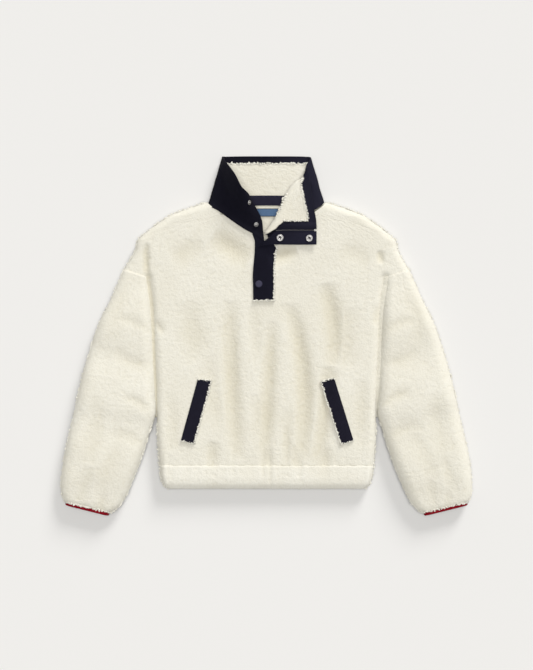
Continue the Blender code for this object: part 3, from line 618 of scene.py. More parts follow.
def spaced(ends, step):
    """Values about a step apart, through each of the given ends."""
    parts = [ends[:1]]
    for low, high in zip(ends[:-1], ends[1:]):
        count = max(1, int(round(abs(high - low) / step)))
        parts.append(np.linspace(low, high, count + 1)[1:])
    return np.concatenate(parts)


def quarter(rounding, step):
    """Shares of a rounding that columns evenly spaced round its quarter circle lie in from its side."""
    return 1 - np.cos(np.radians(np.linspace(90, 0, int(1.6 * rounding / step))))


def body_columns(start, edge, upper, rounding, step):
    """Distances of every row's columns from the middle.

    A lower row runs flat, then round its side; an upper row is the same row drawn out to the
    shoulder, with further columns past the armhole, and squeezed to lie between its own ends.
    """
    flat_count = int((ARMHOLE_X - rounding) / step)
    flat = np.linspace(0, 1, flat_count, endpoint=False)
    rounded = quarter(rounding, step)
    stub = np.linspace(0, 1, int((SHOULDER_X - ARMHOLE_X) / step) + 1)[1:]
    start, edge = start[:, None], edge[:, None]
    low = np.concatenate(
        [start + (edge - rounding - start) * flat, edge - rounding * rounded, edge + 0 * stub], axis=1
    )
    past_armhole = ARMHOLE_X + (SHOULDER_X - ARMHOLE_X) * stub
    shape = np.concatenate([(ARMHOLE_X - rounding) * flat, ARMHOLE_X - rounding * rounded, past_armhole])
    high = start + (edge - start) * shape / SHOULDER_X
    x = np.where(upper[:, None], high, low)
    seam = x[:, -len(stub) - 1, None]
    past = grown(x, seam, np.maximum(x[:, -1:] - seam, 1e-9))
    return x, past, len(stub)


def arc(points, axis):
    """Length along a grid's lines from their first point."""
    steps = np.linalg.norm(np.diff(points, axis=axis), axis=-1)
    start = np.zeros_like(np.take(steps, [0], axis=axis))
    return np.concatenate([start, np.cumsum(steps, axis=axis)], axis=axis)


def sunk_edges(points, reach, first_row=0, last_row=0, first_column=0, last_column=0):
    """How far the pile sinks into the seams at a grid's edges, from 0 away from them to 1 at them."""
    down, across = arc(points, 0), arc(points, 1)
    sunk = np.zeros(points.shape[:2])
    for wanted, distance in (
        (first_row, down),
        (last_row, down[-1:] - down),
        (first_column, across),
        (last_column, across[:, -1:] - across),
    ):
        if wanted:
            sunk = np.maximum(sunk, wanted * bell(distance, reach))
    return sunk


def directions(points, around=False):
    """Unit directions square to a grid: the cross product of its two neighbour steps."""
    down = np.gradient(points, axis=0)
    across = np.roll(points, -1, 1) - np.roll(points, 1, 1) if around else np.gradient(points, axis=1)
    return unit(np.cross(down, across))


# ---------------------------------------------------------------- meshes


def squares(rows, columns, around=False):
    """Corner numbers of a grid's squares; with `around` its last column meets its first."""
    number = np.arange(rows * columns).reshape(rows, columns)
    if around:
        number = np.concatenate([number, number[:, :1]], axis=1)
    return np.stack([number[:-1, :-1], number[:-1, 1:], number[1:, 1:], number[1:, :-1]], -1)


def closed_faces(rows, columns, keep, around):
    """Squares of the outer grid, of the inner grid turned round, and of the rim between open edges."""
    outside = squares(rows, columns, around)
    outside = outside[keep] if keep is not None else outside.reshape(-1, 4)
    edges = np.concatenate([outside[:, [k, (k + 1) % 4]] for k in range(4)])
    size = rows * columns
    forward, back = edges[:, 0] * size + edges[:, 1], edges[:, 1] * size + edges[:, 0]
    rim = edges[~np.isin(forward, back)]
    walls = np.stack([rim[:, 1], rim[:, 0], rim[:, 0] + size, rim[:, 1] + size], 1)
    return np.concatenate([outside, outside[:, ::-1] + size, walls])


def volume(points, faces):
    """Signed volume inside a closed set of squares, each cut into two triangles."""
    total = 0.0
    for corners in (faces[:, [0, 1, 2]], faces[:, [0, 2, 3]]):
        a, b, c = (points[corners[:, k]] for k in range(3))
        total += (a * np.cross(b, c)).sum() / 6
    return total


def make_mesh(name, points, faces, plan=None, shade=None, smooth=40):
    """A mesh object from arrays, with its unused points left out.

    plan is a two-column array of lengths along the cloth, kept as a UV map, and shade is one value
    a point, kept as the attribute `deep`.
    """
    used, faces = np.unique(faces, return_inverse=True)
    faces = faces.reshape(-1, 4) if faces.ndim == 1 else faces
    mesh = bpy.data.meshes.new(name)
    mesh.from_pydata(points[used].tolist(), [], faces.tolist())
    corner = np.zeros(len(mesh.loops), dtype=np.int32)
    mesh.loops.foreach_get("vertex_index", corner)
    if plan is not None:
        layer = mesh.uv_layers.new(name="cloth")
        layer.data.foreach_set("uv", plan[used][corner].astype(np.float32).ravel())
    if shade is not None:
        attribute = mesh.attributes.new("deep", "FLOAT", "POINT")
        attribute.data.foreach_set("value", shade[used].astype(np.float32))
    mesh.polygons.foreach_set("use_smooth", np.ones(len(mesh.polygons), dtype=bool))
    if smooth:
        mesh.set_sharp_from_angle(angle=math.radians(smooth))
    mesh.update()
    thing = bpy.data.objects.new(name, mesh)
    bpy.context.scene.collection.objects.link(thing)
    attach(thing, "root")
    return thing


def finished(thing, material, replaced=()):
    """Gives a piece its material, and hides the nodes that it stands for."""
    thing.data.materials.append(bpy.data.materials[material])
    if replaced:
        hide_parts(*replaced)
    return thing


def cloth(name, outer, inner, keep=None, around=False, shade=None, smooth=60):
    """A closed wall of cloth between an outer and an inner grid."""
    rows, columns = outer.shape[:2]
    faces = closed_faces(rows, columns, keep, around)
    points = np.concatenate([outer.reshape(-1, 3), inner.reshape(-1, 3)])
    if volume(points, faces) < 0:
        faces = faces[:, ::-1]
    plan = np.stack([arc(outer, 1), arc(outer, 0)], -1).reshape(-1, 2)
    plan = np.concatenate([plan, plan])
    if shade is not None:
        shade = np.concatenate([shade.ravel(), 0.5 + 0 * shade.ravel()])
    return make_mesh(name, points, faces, plan, shade, smooth)


def stamped(name, form, form_faces, centres, frames, sizes, smooth=0):
    """One mesh of many copies of a small form: each turned by its frame, scaled and put in its place."""
    scaled = form[None] * sizes[:, None, :]
    points = centres[:, None] + np.einsum("nij,nkj->nki", frames, scaled)
    faces = (form_faces[None] + len(form) * np.arange(len(centres))[:, None, None]).reshape(-1, 4)
    return make_mesh(name, points.reshape(-1, 3), faces, smooth=smooth)


def ball(rings, sides, power=1.0):
    """A round form of unit radius on a grid of latitude and longitude, its poles closed by squares.

    The radius of a ring is the cosine of its latitude raised to `power`; a low power gives a block.
    """
    tilt = np.linspace(-np.pi / 2, np.pi / 2, rings + 1)
    turn = np.linspace(0, 2 * np.pi, sides, endpoint=False)
    radius = np.sign(np.cos(tilt)) * np.abs(np.cos(tilt)) ** power
    radius[[0, -1]] = 0.02
    height = np.sin(tilt)[:, None] * np.ones(sides)
    points = np.stack([radius[:, None] * np.cos(turn), radius[:, None] * np.sin(turn), height], -1)
    near = np.arange(sides // 2 - 1)
    cap = np.stack([near, near + 1, sides - 2 - near, sides - 1 - near], -1)
    faces = squares(rings + 1, sides, True).reshape(-1, 4)
    return points.reshape(-1, 3), np.concatenate([faces, cap[:, ::-1], cap + rings * sides])


# ---------------------------------------------------------------- finishes


def wire(tree, kind, values=None, links=None, **kept):
    """Adds one shader node: kept properties, socket values and sockets linked from other nodes."""
    node = tree.nodes.new(kind)
    for key, value in kept.items():
        setattr(node, key, value)
    for socket, value in (values or {}).items():
        node.inputs[socket].default_value = value
    for socket, source in (links or {}).items():
        tree.links.new(source, node.inputs[socket])
    return node


def new_group(name, inputs, outputs):
    """An empty node group with named sockets, and its input and output nodes."""
    tree = bpy.data.node_groups.new(name, "ShaderNodeTree")
    for label, kind, value in inputs:
        socket = tree.interface.new_socket(name=label, in_out="INPUT", socket_type=kind)
        if value is not None:
            socket.default_value = value
    for label, kind in outputs:
        tree.interface.new_socket(name=label, in_out="OUTPUT", socket_type=kind)
    return tree, tree.nodes.new("NodeGroupInput").outputs, tree.nodes.new("NodeGroupOutput").inputs


def set_socket(tree, socket, value):
    """Gives a socket a plain value, or a link where the value is another node's output."""
    if hasattr(value, "links"):
        tree.links.new(value, socket)
    elif value is not None:
        socket.default_value = value


def math_node(tree, operation, first, second=None, clamp=False):
    """The output of a Math node; each input is a number or another node's output."""
    node = tree.nodes.new("ShaderNodeMath")
    node.operation = operation
    node.use_clamp = clamp
    for socket, value in zip(node.inputs, (first, second)):
        set_socket(tree, socket, value)
    return node.outputs[0]


def make_curl_group():
    """Fine curls of the pile: bent noise for their height, and wide soft blotches for their shade."""
    tree, given, out = new_group(
        "Curls",
        [("Place", "NodeSocketVector", None), ("Size", "NodeSocketFloat", 0.004)],
        [("Height", "NodeSocketFloat"), ("Blotch", "NodeSocketFloat")],
    )
    per_metre = math_node(tree, "DIVIDE", 1.0, given["Size"])
    links = {"Vector": given["Place"], "Scale": per_metre}
    curls = wire(tree, "ShaderNodeTexNoise", {"Detail": 3.0, "Roughness": 0.62, "Distortion": 1.6}, links)
    rounded = {"Smoothness": 0.5, "Randomness": 1.0}
    cells = wire(tree, "ShaderNodeTexVoronoi", rounded, links, feature="SMOOTH_F1")
    lump = math_node(tree, "SUBTRACT", 1.0, cells.outputs["Distance"], clamp=True)
    height = math_node(tree, "MULTIPLY", curls.outputs[0], 0.6)
    height = math_node(tree, "ADD", height, math_node(tree, "MULTIPLY", lump, 0.4))
    tree.links.new(height, out["Height"])
    soft = {"Scale": 21.0, "Detail": 2.0, "Distortion": 0.4}
    blotch = wire(tree, "ShaderNodeTexNoise", soft, {"Vector": given["Place"]})
    tree.links.new(blotch.outputs[0], out["Blotch"])
    return tree


def make_twill_group():
    """Twill: slanting ribs across the cloth's own plan, crossed by finer threads and slightly uneven."""
    number = "NodeSocketFloat"
    tree, given, out = new_group(
        "Twill",
        [("Plan", "NodeSocketVector", None), ("Rib", number, 0.0009), ("Slant", number, 1.0)],
        [("Height", number), ("Worn", number)],
    )
    parts = wire(tree, "ShaderNodeSeparateXYZ", links={"Vector": given["Plan"]})
    turn = math_node(tree, "DIVIDE", 2 * math.pi, given["Rib"])
    slanted = math_node(tree, "MULTIPLY", parts.outputs["Y"], given["Slant"])
    place = math_node(tree, "MULTIPLY", math_node(tree, "ADD", parts.outputs["X"], slanted), turn)
    ribs = math_node(tree, "SINE", place)
    threads = math_node(tree, "SINE", math_node(tree, "MULTIPLY", parts.outputs["X"], turn))
    height = math_node(tree, "ADD", ribs, math_node(tree, "MULTIPLY", threads, 0.35))
    tree.links.new(height, out["Height"])
    patches = {"Scale": 60.0, "Detail": 4.0, "Roughness": 0.6}
    worn = wire(tree, "ShaderNodeTexNoise", patches, {"Vector": given["Plan"]})
    tree.links.new(worn.outputs[0], out["Worn"])
    return tree


def new_material(name, colour, roughness, **sockets):
    """A material with its Principled shader's plain values set."""
    material = bpy.data.materials.new(name)
    material.use_nodes = True
    tree = material.node_tree
    shader = tree.nodes["Principled BSDF"]
    shader.inputs["Base Color"].default_value = (*colour, 1)
    shader.inputs["Roughness"].default_value = roughness
    for socket, value in sockets.items():
        shader.inputs[socket.replace("_", " ")].default_value = value
    return tree, shader


def place_group(tree, group, **values):
    """The outputs of a node group placed in a material with its own values."""
    node = tree.nodes.new("ShaderNodeGroup")
    node.node_tree = group
    for socket, value in values.items():
        set_socket(tree, node.inputs[socket], value)
    return node.outputs


def blend(tree, share, first, second):
    """Colour between two: each is a colour or the output of a node."""
    node = tree.nodes.new("ShaderNodeMix")
    node.data_type = "RGBA"
    for socket, value in ((node.inputs[0], share), (node.inputs[6], first), (node.inputs[7], second)):
        set_socket(tree, socket, (*value, 1) if isinstance(value, tuple) else value)
    return node.outputs[2]


def object_place(tree):
    """The place on the piece, in its own axes."""
    return wire(tree, "ShaderNodeTexCoord").outputs["Object"]


def cloth_plan(tree):
    """The place on the cloth laid out flat, from its UV map."""
    return wire(tree, "ShaderNodeUVMap", uv_map="cloth").outputs[0]


def plan_axes(tree):
    """The place on the cloth laid out flat, as two values: its X and its Y."""
    parts = wire(tree, "ShaderNodeSeparateXYZ", links={"Vector": cloth_plan(tree)}).outputs
    return parts["X"], parts["Y"]


def waves(tree, place, length):
    """A sine that repeats at a length."""
    return math_node(tree, "SINE", math_node(tree, "MULTIPLY", place, 2 * math.pi / length))


def ramp(tree, value, start, slope):
    """How far a value lies past its start, times a slope, held between 0 and 1."""
    return math_node(tree, "MULTIPLY", math_node(tree, "SUBTRACT", value, start), slope, clamp=True)


def raise_surface(tree, shader, height, strength, distance):
    """Feeds a height through a Bump node to a shader's normal."""
    bump = wire(tree, "ShaderNodeBump", {"Strength": strength, "Distance": distance}, {"Height": height})
    tree.links.new(bump.outputs[0], shader.inputs["Normal"])


def make_sherpa_finish(curls):
    """Cream pile: pale tips; painted shade, warmer and darker, between the curls, in the seams and in folds;
    soft blotches of tone.
    """
    settings = bpy.context.scene.jacket_pile
    tree, shader = new_material("sherpa_pile", settings.light, 0.92, Sheen_Weight=0.25, Sheen_Roughness=0.6)
    shader.inputs["Specular IOR Level"].default_value = 0.2
    place = object_place(tree)
    fine = place_group(tree, curls, Place=place, Size=0.0036)
    # `deep` and `low` are painted shade: between the curls, in seams and folds, and in the hollows of the
    # fine curls; the blotches are random tone.
    deep = wire(tree, "ShaderNodeAttribute", attribute_name="deep").outputs["Fac"]
    low = ramp(tree, fine["Height"], 0.62, -1.5)
    dark = math_node(tree, "MULTIPLY", deep, 0.85)
    dark = math_node(tree, "ADD", dark, math_node(tree, "MULTIPLY", low, 0.28), clamp=True)
    blotch = ramp(tree, fine["Blotch"], 0.42, 1.1)
    dark = math_node(tree, "ADD", dark, math_node(tree, "MULTIPLY", blotch, 0.26), clamp=True)
    colour = blend(tree, dark, tuple(settings.light), tuple(settings.deep))
    tree.links.new(colour, shader.inputs["Base Color"])
    raise_surface(tree, shader, fine["Height"], 0.5, 0.0020)


def make_navy_finish(name, colour, twill, rib, slant, worn, painted_light_right=0.0):
    """Dark cotton twill: fine slanting ribs, paler where it is worn, and painted light that makes it paler
    towards +X, the side the lamp lights.
    """
    tree, shader = new_material(name, colour, 0.80)
    shader.inputs["Specular IOR Level"].default_value = 0.12
    weave = place_group(tree, twill, Plan=cloth_plan(tree), Rib=rib, Slant=slant)
    share = ramp(tree, weave["Worn"], 0.4, worn)
    ribs = ramp(tree, weave["Height"], -1.0, 0.10)
    paler = tuple(2.2 * value + 0.002 for value in colour)
    mixed = blend(tree, math_node(tree, "ADD", share, ribs, clamp=True), tuple(colour), paler)
    place = object_place(tree)
    # Painted light: the last argument makes the cloth paler towards +X, the side the lamp lights, up to a
    # painted highlight colour.
    across = wire(tree, "ShaderNodeSeparateXYZ", links={"Vector": place}).outputs["X"]
    side = math_node(tree, "MULTIPLY", math_node(tree, "DIVIDE", across, 0.080, clamp=True), painted_light_right)
    mixed = blend(tree, side, mixed, tuple(2.6 * value + 0.005 for value in colour))
    tree.links.new(mixed, shader.inputs["Base Color"])
    raise_surface(tree, shader, weave["Height"], 0.35, 0.00025)


def make_metal_finish(name, colour, roughness, metallic, scratch):
    """Metal with fine uneven scratches in its gloss."""
    tree, shader = new_material(name, colour, roughness, Metallic=metallic)
    place = object_place(tree)
    stretched = wire(tree, "ShaderNodeMapping", {"Scale": (1.0, 6.0, 1.0)}, {"Vector": place})
    fine = {"Scale": 900.0, "Detail": 3.0}
    marks = wire(tree, "ShaderNodeTexNoise", fine, {"Vector": stretched.outputs[0]}).outputs[0]
    gloss = math_node(tree, "ADD", math_node(tree, "MULTIPLY", marks, scratch), roughness - scratch / 2)
    tree.links.new(gloss, shader.inputs["Roughness"])
    raise_surface(tree, shader, marks, 0.08, 0.0002)


def make_knit_finish(name, colour, rib):
    """Red knit: ribs along the binding's length, with painted shade darkening the hollows between them."""
    tree, shader = new_material(name, colour, 0.85)
    shader.inputs["Specular IOR Level"].default_value = 0.15
    along, across = plan_axes(tree)
    wave = waves(tree, along, rib)
    height = math_node(tree, "ADD", wave, math_node(tree, "MULTIPLY", waves(tree, across, rib / 2), 0.5))
    share = ramp(tree, height, -1.0, 0.35)
    darker = tuple(0.55 * value for value in colour)
    tree.links.new(blend(tree, share, darker, tuple(colour)), shader.inputs["Base Color"])
    raise_surface(tree, shader, height, 0.6, 0.0004)


def make_label_finish(colour):
    """Woven label: fine cross ribs, with a dark woven border along its long edges."""
    tree, shader = new_material("label_weave", colour, 0.55, Sheen_Weight=0.1)
    along, across = plan_axes(tree)
    height = math_node(tree, "MULTIPLY", waves(tree, across, 0.0007), waves(tree, along, 0.0009))
    from_middle = math_node(tree, "ABSOLUTE", math_node(tree, "SUBTRACT", across, LABEL_SIZE[1] / 2))
    border = math_node(tree, "GREATER_THAN", from_middle, LABEL_SIZE[1] / 2 - 0.0016)
    share = ramp(tree, height, -1.0, 0.14)
    woven = blend(tree, share, tuple(colour), tuple(1.5 * value + 0.02 for value in colour))
    mixed = blend(tree, border, woven, tuple(0.25 * value for value in colour))
    tree.links.new(mixed, shader.inputs["Base Color"])
    raise_surface(tree, shader, height, 0.4, 0.0002)


def make_floor_finish(colour):
    """Plain matt floor, faintly uneven."""
    tree, shader = new_material("floor", colour, 0.9)
    shader.inputs["Specular IOR Level"].default_value = 0.1
    place = object_place(tree)
    faint = wire(tree, "ShaderNodeTexNoise", {"Scale": 1.3, "Detail": 1.0}, {"Vector": place}).outputs[0]
    paler = tuple(min(1.0, 1.01 * value) for value in colour)
    tree.links.new(blend(tree, faint, tuple(colour), paler), shader.inputs["Base Color"])


# ---------------------------------------------------------------- cloth of the body


def piled(points, normals, low, high, quiet=0):
    """Moves a sherpa surface out by its pile, and gives the shade between the curls.

    A point moves by `low` at the bottom of the pile to `high` at its tips; where `quiet` is 1 the
    pile is pressed flat.
    """
    height = pile(points) * (1 - quiet)
    moved = points + (low + (high - low) * height)[..., None] * normals
    return moved, 1 - height


def sherpa_sheet(name, outer, normals, inner, nodes, sunk, keep=None, around=False, shade=0):
    """One panel of sherpa: the pile outside and a smoother side within.

    Where `sunk` is 1 the pile is flat and half its depth lower; the shade grows with both.
    """
    depth = bpy.context.scene.jacket_pile.height
    moved, deep = piled(outer, normals, -PILE_BELOW * depth, PILE_ABOVE * depth, sunk)
    moved = moved - (0.5 * depth * sunk)[..., None] * normals
    moved[..., 2] = np.maximum(moved[..., 2], 0.0)
    deep = np.clip(0.55 * deep + 0.3 * sunk + shade, 0, 1)
    thing = cloth(name, moved, inner, keep, around, shade=deep, smooth=0)
    finished(thing, "sherpa_pile", nodes)


def both_sides(halves, middle=()):
    """Columns of the left half, turned round, then those of the middle and of the right half."""
    return np.concatenate([halves[0][:, ::-1], *middle, halves[1]], axis=1)


def make_front():
    """The front: rows across it, each parted at the slit and the neck."""
    step = bpy.context.scene.jacket_pile.step
    y = spaced(np.array([HEM_Y, SLIT_BOTTOM_Y, ARMHOLE_Y, NECK_POINT_Y, NECK_TOP_Y]), step)
    rise = between(ARM_RISE, y)
    upper = y >= ARMHOLE_Y - 1e-6
    on_seam = y > NECK_POINT_Y - 1e-6
    edge = np.where(upper, between(SHOULDER, y + rise), side_width(y))
    edge = np.where(on_seam, between(SHOULDER_SEAM, y - 2 * LAP), edge)
    halves = []
    for side in (-1, 1):
        start = np.where(on_seam, neck_width(y, side), side * NECK_CENTRE_X + SLIT_HALF)
        across, past, stub = body_columns(start, edge, upper, TOP_ROUND, step)
        halves.append((side * across, y[:, None] + rise[:, None] * past))
    x, rows_y = (both_sides(half) for half in zip(*halves))
    rows_y[0] -= LAP / 2
    points, normals = body_surface(x, rows_y, True)
    keep = np.ones((len(y) - 1, x.shape[1] - 1), bool)
    low_rows = ~upper[:-1]
    keep[low_rows, :stub] = False
    keep[low_rows, -stub:] = False
    keep[y[:-1] >= SLIT_BOTTOM_Y - 1e-6, x.shape[1] // 2 - 1] = False
    sunk = sunk_edges(points, SEAM_REACH, first_row=0.2)
    seam = bell(rows_y - ARMHOLE_Y - ARMHOLE_SLOPE * (np.abs(x) - ARMHOLE_X), ARMHOLE_SEAM)
    sunk = np.maximum(sunk, ARMHOLE_SUNK * seam * (np.abs(x) > ARMHOLE_X) * (rows_y < 0.14))
    at_shoulder = on_seam[:, None] * bell(np.abs(x) - edge[:, None], SHOULDER_REACH)
    sunk = np.maximum(sunk, SHOULDER_SUNK * at_shoulder)
    sherpa_sheet(
        "front_cloth", points, normals, points - SHERPA * normals, ["front_panel"], sunk,
        keep=keep, shade=fold_shade(trough(x, rows_y, FRONT_FOLDS)),
    )


def make_back():
    """The back: the layer beneath, and above the shoulders the strip that comes forward to the seam."""
    step = 1.5 * bpy.context.scene.jacket_pile.step
    y = spaced(np.array([HEM_Y, ARMHOLE_Y, NECK_POINT_Y, NECK_TOP_Y, BACK_TOP_Y]), step)
    rise = between(ARM_RISE, y)
    upper = y >= ARMHOLE_Y - 1e-6
    with_strip = y > NECK_POINT_Y - 1e-6
    edge = np.where(upper, between(SHOULDER, y + rise), side_width(y))
    share = np.linspace(0, 1, int(STRIP_LENGTH / step))[1:] ** 1.4
    halves = []
    for side in (-1, 1):
        ends = np.where(y < NECK_TOP_Y + MM, between(SHOULDER_SEAM, y + LAP), neck_width(y, side))
        ends = np.minimum(ends, edge - SEAM / 10)
        across, past, stub = body_columns(0 * y, edge, upper, UNDER_ROUND, step)
        across, past = across[:, 1:], past[:, 1:]
        strip = edge[:, None] + (ends - edge)[:, None] * share
        under_y = y[:, None] + rise[:, None] * past
        strip_y = (y + rise)[:, None] + 0 * strip
        half_x = side * np.concatenate([across, strip], axis=1)
        halves.append((half_x, np.concatenate([under_y, strip_y], axis=1)))
    half_x, half_y = zip(*halves)
    x, rows_y = both_sides(half_x, [0 * y[:, None]]), both_sides(half_y, [y[:, None]])
    rows_y[0] += SEAM
    rows_y[-1] += BACK_NECK_RISE * np.clip(1 - (x[-1] / NECK_HALF) ** 2, 0, 1)
    strips = len(share)
    over = np.zeros(x.shape, bool)
    over[:, :strips] = over[:, -strips:] = True
    points, normals = body_surface(x, rows_y, over)
    inside = points - SHERPA * normals
    in_neck = (np.abs(x) < NECK_INSIDE) & (rows_y > NECK_INSIDE_Y) & ~over
    inner_pile = (pile(inside * np.array([1, 1, 0]) + upward(0.3)) - 0.45) * NECK_PILE
    inside[..., 2] += np.where(in_neck, inner_pile, 0)
    keep = np.ones((len(y) - 1, x.shape[1] - 1), bool)
    keep[~with_strip[:-1], :strips] = False
    keep[~with_strip[:-1], -strips:] = False
    low_rows = ~upper[:-1]
    keep[low_rows, : strips + stub] = False
    keep[low_rows, -strips - stub :] = False
    sunk = sunk_edges(points, SEAM_REACH, first_row=1)
    sherpa_sheet(
        "back_cloth", points, normals, inside, ["back_panel"], sunk,
        keep=keep,
    )


def ring_section(rings, inset, wall_depth, middle_count, corner_count):
    """Points round each ring of a sleeve: rounded corners joined by flat stretches, above and below."""
    outer, inner = rings[:, 0:2], rings[:, 2:4]
    height, corner = rings[:, 4], rings[:, 5]
    width = np.linalg.norm(outer - inner, axis=1)
    along = (outer - inner) / width[:, None]
    top, under = corner - wall_depth - inset, RING_UNDER_ROUND - wall_depth - inset
    low, high = wall_depth + inset, height - wall_depth - inset
    turns = np.radians(np.linspace(0, 90, corner_count))
    shares = np.linspace(0, 1, middle_count + 2)[1:-1]
    span = width - 2 * (wall_depth + inset)

    def across(reach):
        """Distances over the near corner, the flat stretch and the far corner."""
        near = reach[:, None] * (1 - np.cos(turns))
        middle = reach[:, None] + (span - 2 * reach)[:, None] * shares
        return np.concatenate([near, middle, (span[:, None] - near)[:, ::-1]], axis=1)

    lift = np.concatenate([np.sin(turns), np.ones(middle_count), np.sin(turns)[::-1]])
    over_x = across(top)
    over_z = RING_MID + (high - RING_MID)[:, None] * lift
    under_x = across(under * np.ones(len(rings)))[:, ::-1][:, 1:-1]
    under_z = RING_MID - (RING_MID - low) * lift[None, 1:-1] * np.ones((len(rings), 1))
    x = np.concatenate([over_x, under_x], axis=1) + wall_depth + inset
    z = np.concatenate([over_z, under_z], axis=1)
    flat = inner[:, None] + along[:, None] * x[..., None]
    return np.concatenate([flat, z[..., None]], axis=-1)


def sleeve_rings(stations, side):
    """Rows of the sleeve's table at any station, on the left for side -1 and on the right for 1."""
    rings = at_stations(SLEEVE, stations)
    rings[:, [0, 2]] *= side
    return rings


def make_sleeves():
    """Sleeves: rings from the armhole to the cuff, with creases across their tops."""
    step = bpy.context.scene.jacket_pile.step
    length = np.linalg.norm(np.diff((SLEEVE[:, 0:2] + SLEEVE[:, 2:4]) / 2, axis=0), axis=1)
    far = np.concatenate([[0], np.cumsum(length)])
    end = far[-1] - CUFF_SHOWN
    stations = np.interp(np.linspace(0, end, int(end / step)), far, np.arange(len(SLEEVE)))
    top_count, corner_count = int(0.10 / step), int(0.030 / step)
    for name, side, mirrored in (("left", -1, LEFT_FOLDS), ("right", 1, 1.0)):
        rings = sleeve_rings(stations, side)
        rings[0, :4] += SLEEVE_UNDER * (rings[0, :4] - rings[1, :4])
        outer = ring_section(rings, 0.0, 0.0, top_count, corner_count)
        inner = ring_section(rings, 0.0, SHERPA, top_count, corner_count)
        normals = directions(outer, around=True)
        middle = outer.mean(1, keepdims=True)
        normals *= np.where(((outer - middle) * normals).sum(-1, keepdims=True).mean() < 0, -1, 1)
        top = np.clip(normals[..., 2], 0, 1)
        from_seam = 1 - sunk_edges(outer, SLEEVE_LAP_REACH, first_row=1)
        folds = trough(side * outer[..., 0], outer[..., 1] * mirrored, SLEEVE_FOLDS)
        sink = SLEEVE_FOLD_SHARE * folds * top * from_seam
        puff = waver(outer, SLEEVE_PUFF) * top * from_seam
        lap = SLEEVE_LAP * (1 - from_seam) * top
        outer = outer - (sink - puff - lap)[..., None] * upward(1)
        sunk = sunk_edges(outer, SEAM_REACH, first_row=0.05, last_row=0.3)
        sherpa_sheet(
            f"sleeve_cloth_{name}", outer, normals, inner, [f"sleeve_{name}"], sunk,
            around=True, shade=fold_shade(sink),
        )


def make_hem_bands():
    """The hem band's two layers, gathered along the seam and rounded at the sides and the lower fold."""
    step = bpy.context.scene.jacket_pile.step
    share = np.linspace(BAND_ROWS[0, 0], 1, int(BAND_HEIGHT / step))
    half_width, height = follow(BAND_ROWS[:, 0], BAND_ROWS[:, 1:], share).T
    edge = half_width[:, None]
    even = np.linspace(0, 1, int(0.21 / step), endpoint=False)
    flat = SLIT_HALF + (edge - BAND_ROUND - SLIT_HALF) * even
    half = np.concatenate([flat, edge - BAND_ROUND * quarter(BAND_ROUND, step)], axis=1)
    x = np.concatenate([-half[:, ::-1], half], axis=1)
    y = (HEM_Y - SEAM - BAND_HEIGHT * share)[:, None] * np.ones_like(x)
    y[0] += 1.5 * LAP + waver(np.stack([x[0], y[0], y[0]], -1), BAND_WAVER)
    cosine = np.clip(1 - (edge - np.abs(x)) / BAND_ROUND, 0, 1)
    sine = np.sqrt(1 - cosine**2)
    dips = trough(x, np.maximum(y, HEM_Y - 0.004), FRONT_FOLDS) * (1 - share[:, None]) + gathers(x, y)
    lower_fold = grown(share, BAND_FOLD_FROM, 1 - BAND_FOLD_FROM)[:, None]
    for name, front in (("front", True), ("back", False)):
        if front:
            z = BAND_MID + SEAM + (height[:, None] - dips - BAND_MID) * sine
            thick = BAND * (1 - FRONT_THINNED * lower_fold) - dips
            up = sine
        else:
            z = BAND_MID - SEAM - (BAND_MID - SEAM - BAND_FOLD_RISE * lower_fold) * sine
            thick = BAND * (1 - BACK_THINNED * lower_fold)
            up = -sine
        outer = np.stack([x, y, z], -1)
        inner = np.stack([x - np.sign(x) * thick * cosine, y, z - thick * up], -1)
        normals = unit(np.stack([np.sign(x) * cosine, -0.8 * lower_fold**2 + 0 * x, up], -1))
        # The front layer's shade less 0.20 paints it lighter all over: painted light, as on a band that
        # catches more light.
        sherpa_sheet(
            f"hem_band_cloth_{name}", outer, normals, inner, [f"hem_band_{name}"],
            sunk_edges(outer, SEAM_REACH, first_row=0.05),
            shade=fold_shade(dips) - 0.20 if front else 0,
        )


# ---------------------------------------------------------------- collar


def collar_controls(stations):
    """Ten points up the collar at each station, with the roll where the cloth is turned over."""
    rows = at_stations(COLLAR, stations)
    base, roll, top, rolled = rows[:, 0:3], rows[:, 3:6], rows[:, 6:9], rows[:, 10:11]
    bow = rows[:, 9:10] * np.array([0, 1, 0])
    into = roll - (base + top) / 2
    into[:, 2] = 0
    into = unit(into)
    rise = upward(ROLL)
    low = roll - SPREAD * (top - base) * (1 - rolled) - rise * rolled
    high = roll + SPREAD * (top - base) * (1 - rolled) + rise * rolled
    tip = roll + into * ROLL * rolled
    leg = np.linalg.norm(top - high, axis=1, keepdims=True)
    wide = between(FACING_WIDTH, stations)[:, None]
    edge = top + (high - top) * np.minimum(wide / leg, FACING_SHARE)
    stand = [base + (low - base) * share for share in (0, 1 / 3, 2 / 3)]
    near, far = TURNED_SHARES
    turned = [high + (edge - high) * near + bow, high + (edge - high) * far + bow / 2]
    return np.stack([*stand, low, tip, high, *turned, edge, top], 1)


def collar_grid(stations, across):
    """The collar's cloth at every station and every place across it.

    A place across is 0 at its base, 4 at its roll, 8 at the facing's edge and 9 at its top.
    """
    controls = collar_controls(stations)
    flat = controls.swapaxes(0, 1).reshape(controls.shape[1], -1)
    smooth = at_stations(flat, across)
    return smooth.reshape(len(across), len(stations), 3).swapaxes(0, 1)


def collar_frames(stations, across):
    """The collar's grid and the unit directions out of its lining's side."""
    grid = collar_grid(stations, across)
    return grid, directions(grid)


def collar_stations(step):
    """Stations evenly spaced along the collar, by the length of its base and top together."""
    fine = np.linspace(0, len(COLLAR) - 1, 400)
    controls = collar_controls(fine)
    length = sum(arc(controls[:, k], 0) for k in (0, 9)) / 2
    return np.interp(np.linspace(0, length[-1], int(length[-1] / step)), length, fine)


def pinch(stations):
    """Share of the lining's depth left where the collar folds: 1 less a bell curve at that station."""
    return 1 - PINCH * bell(stations - PINCH_STATION, PINCH_REACH)


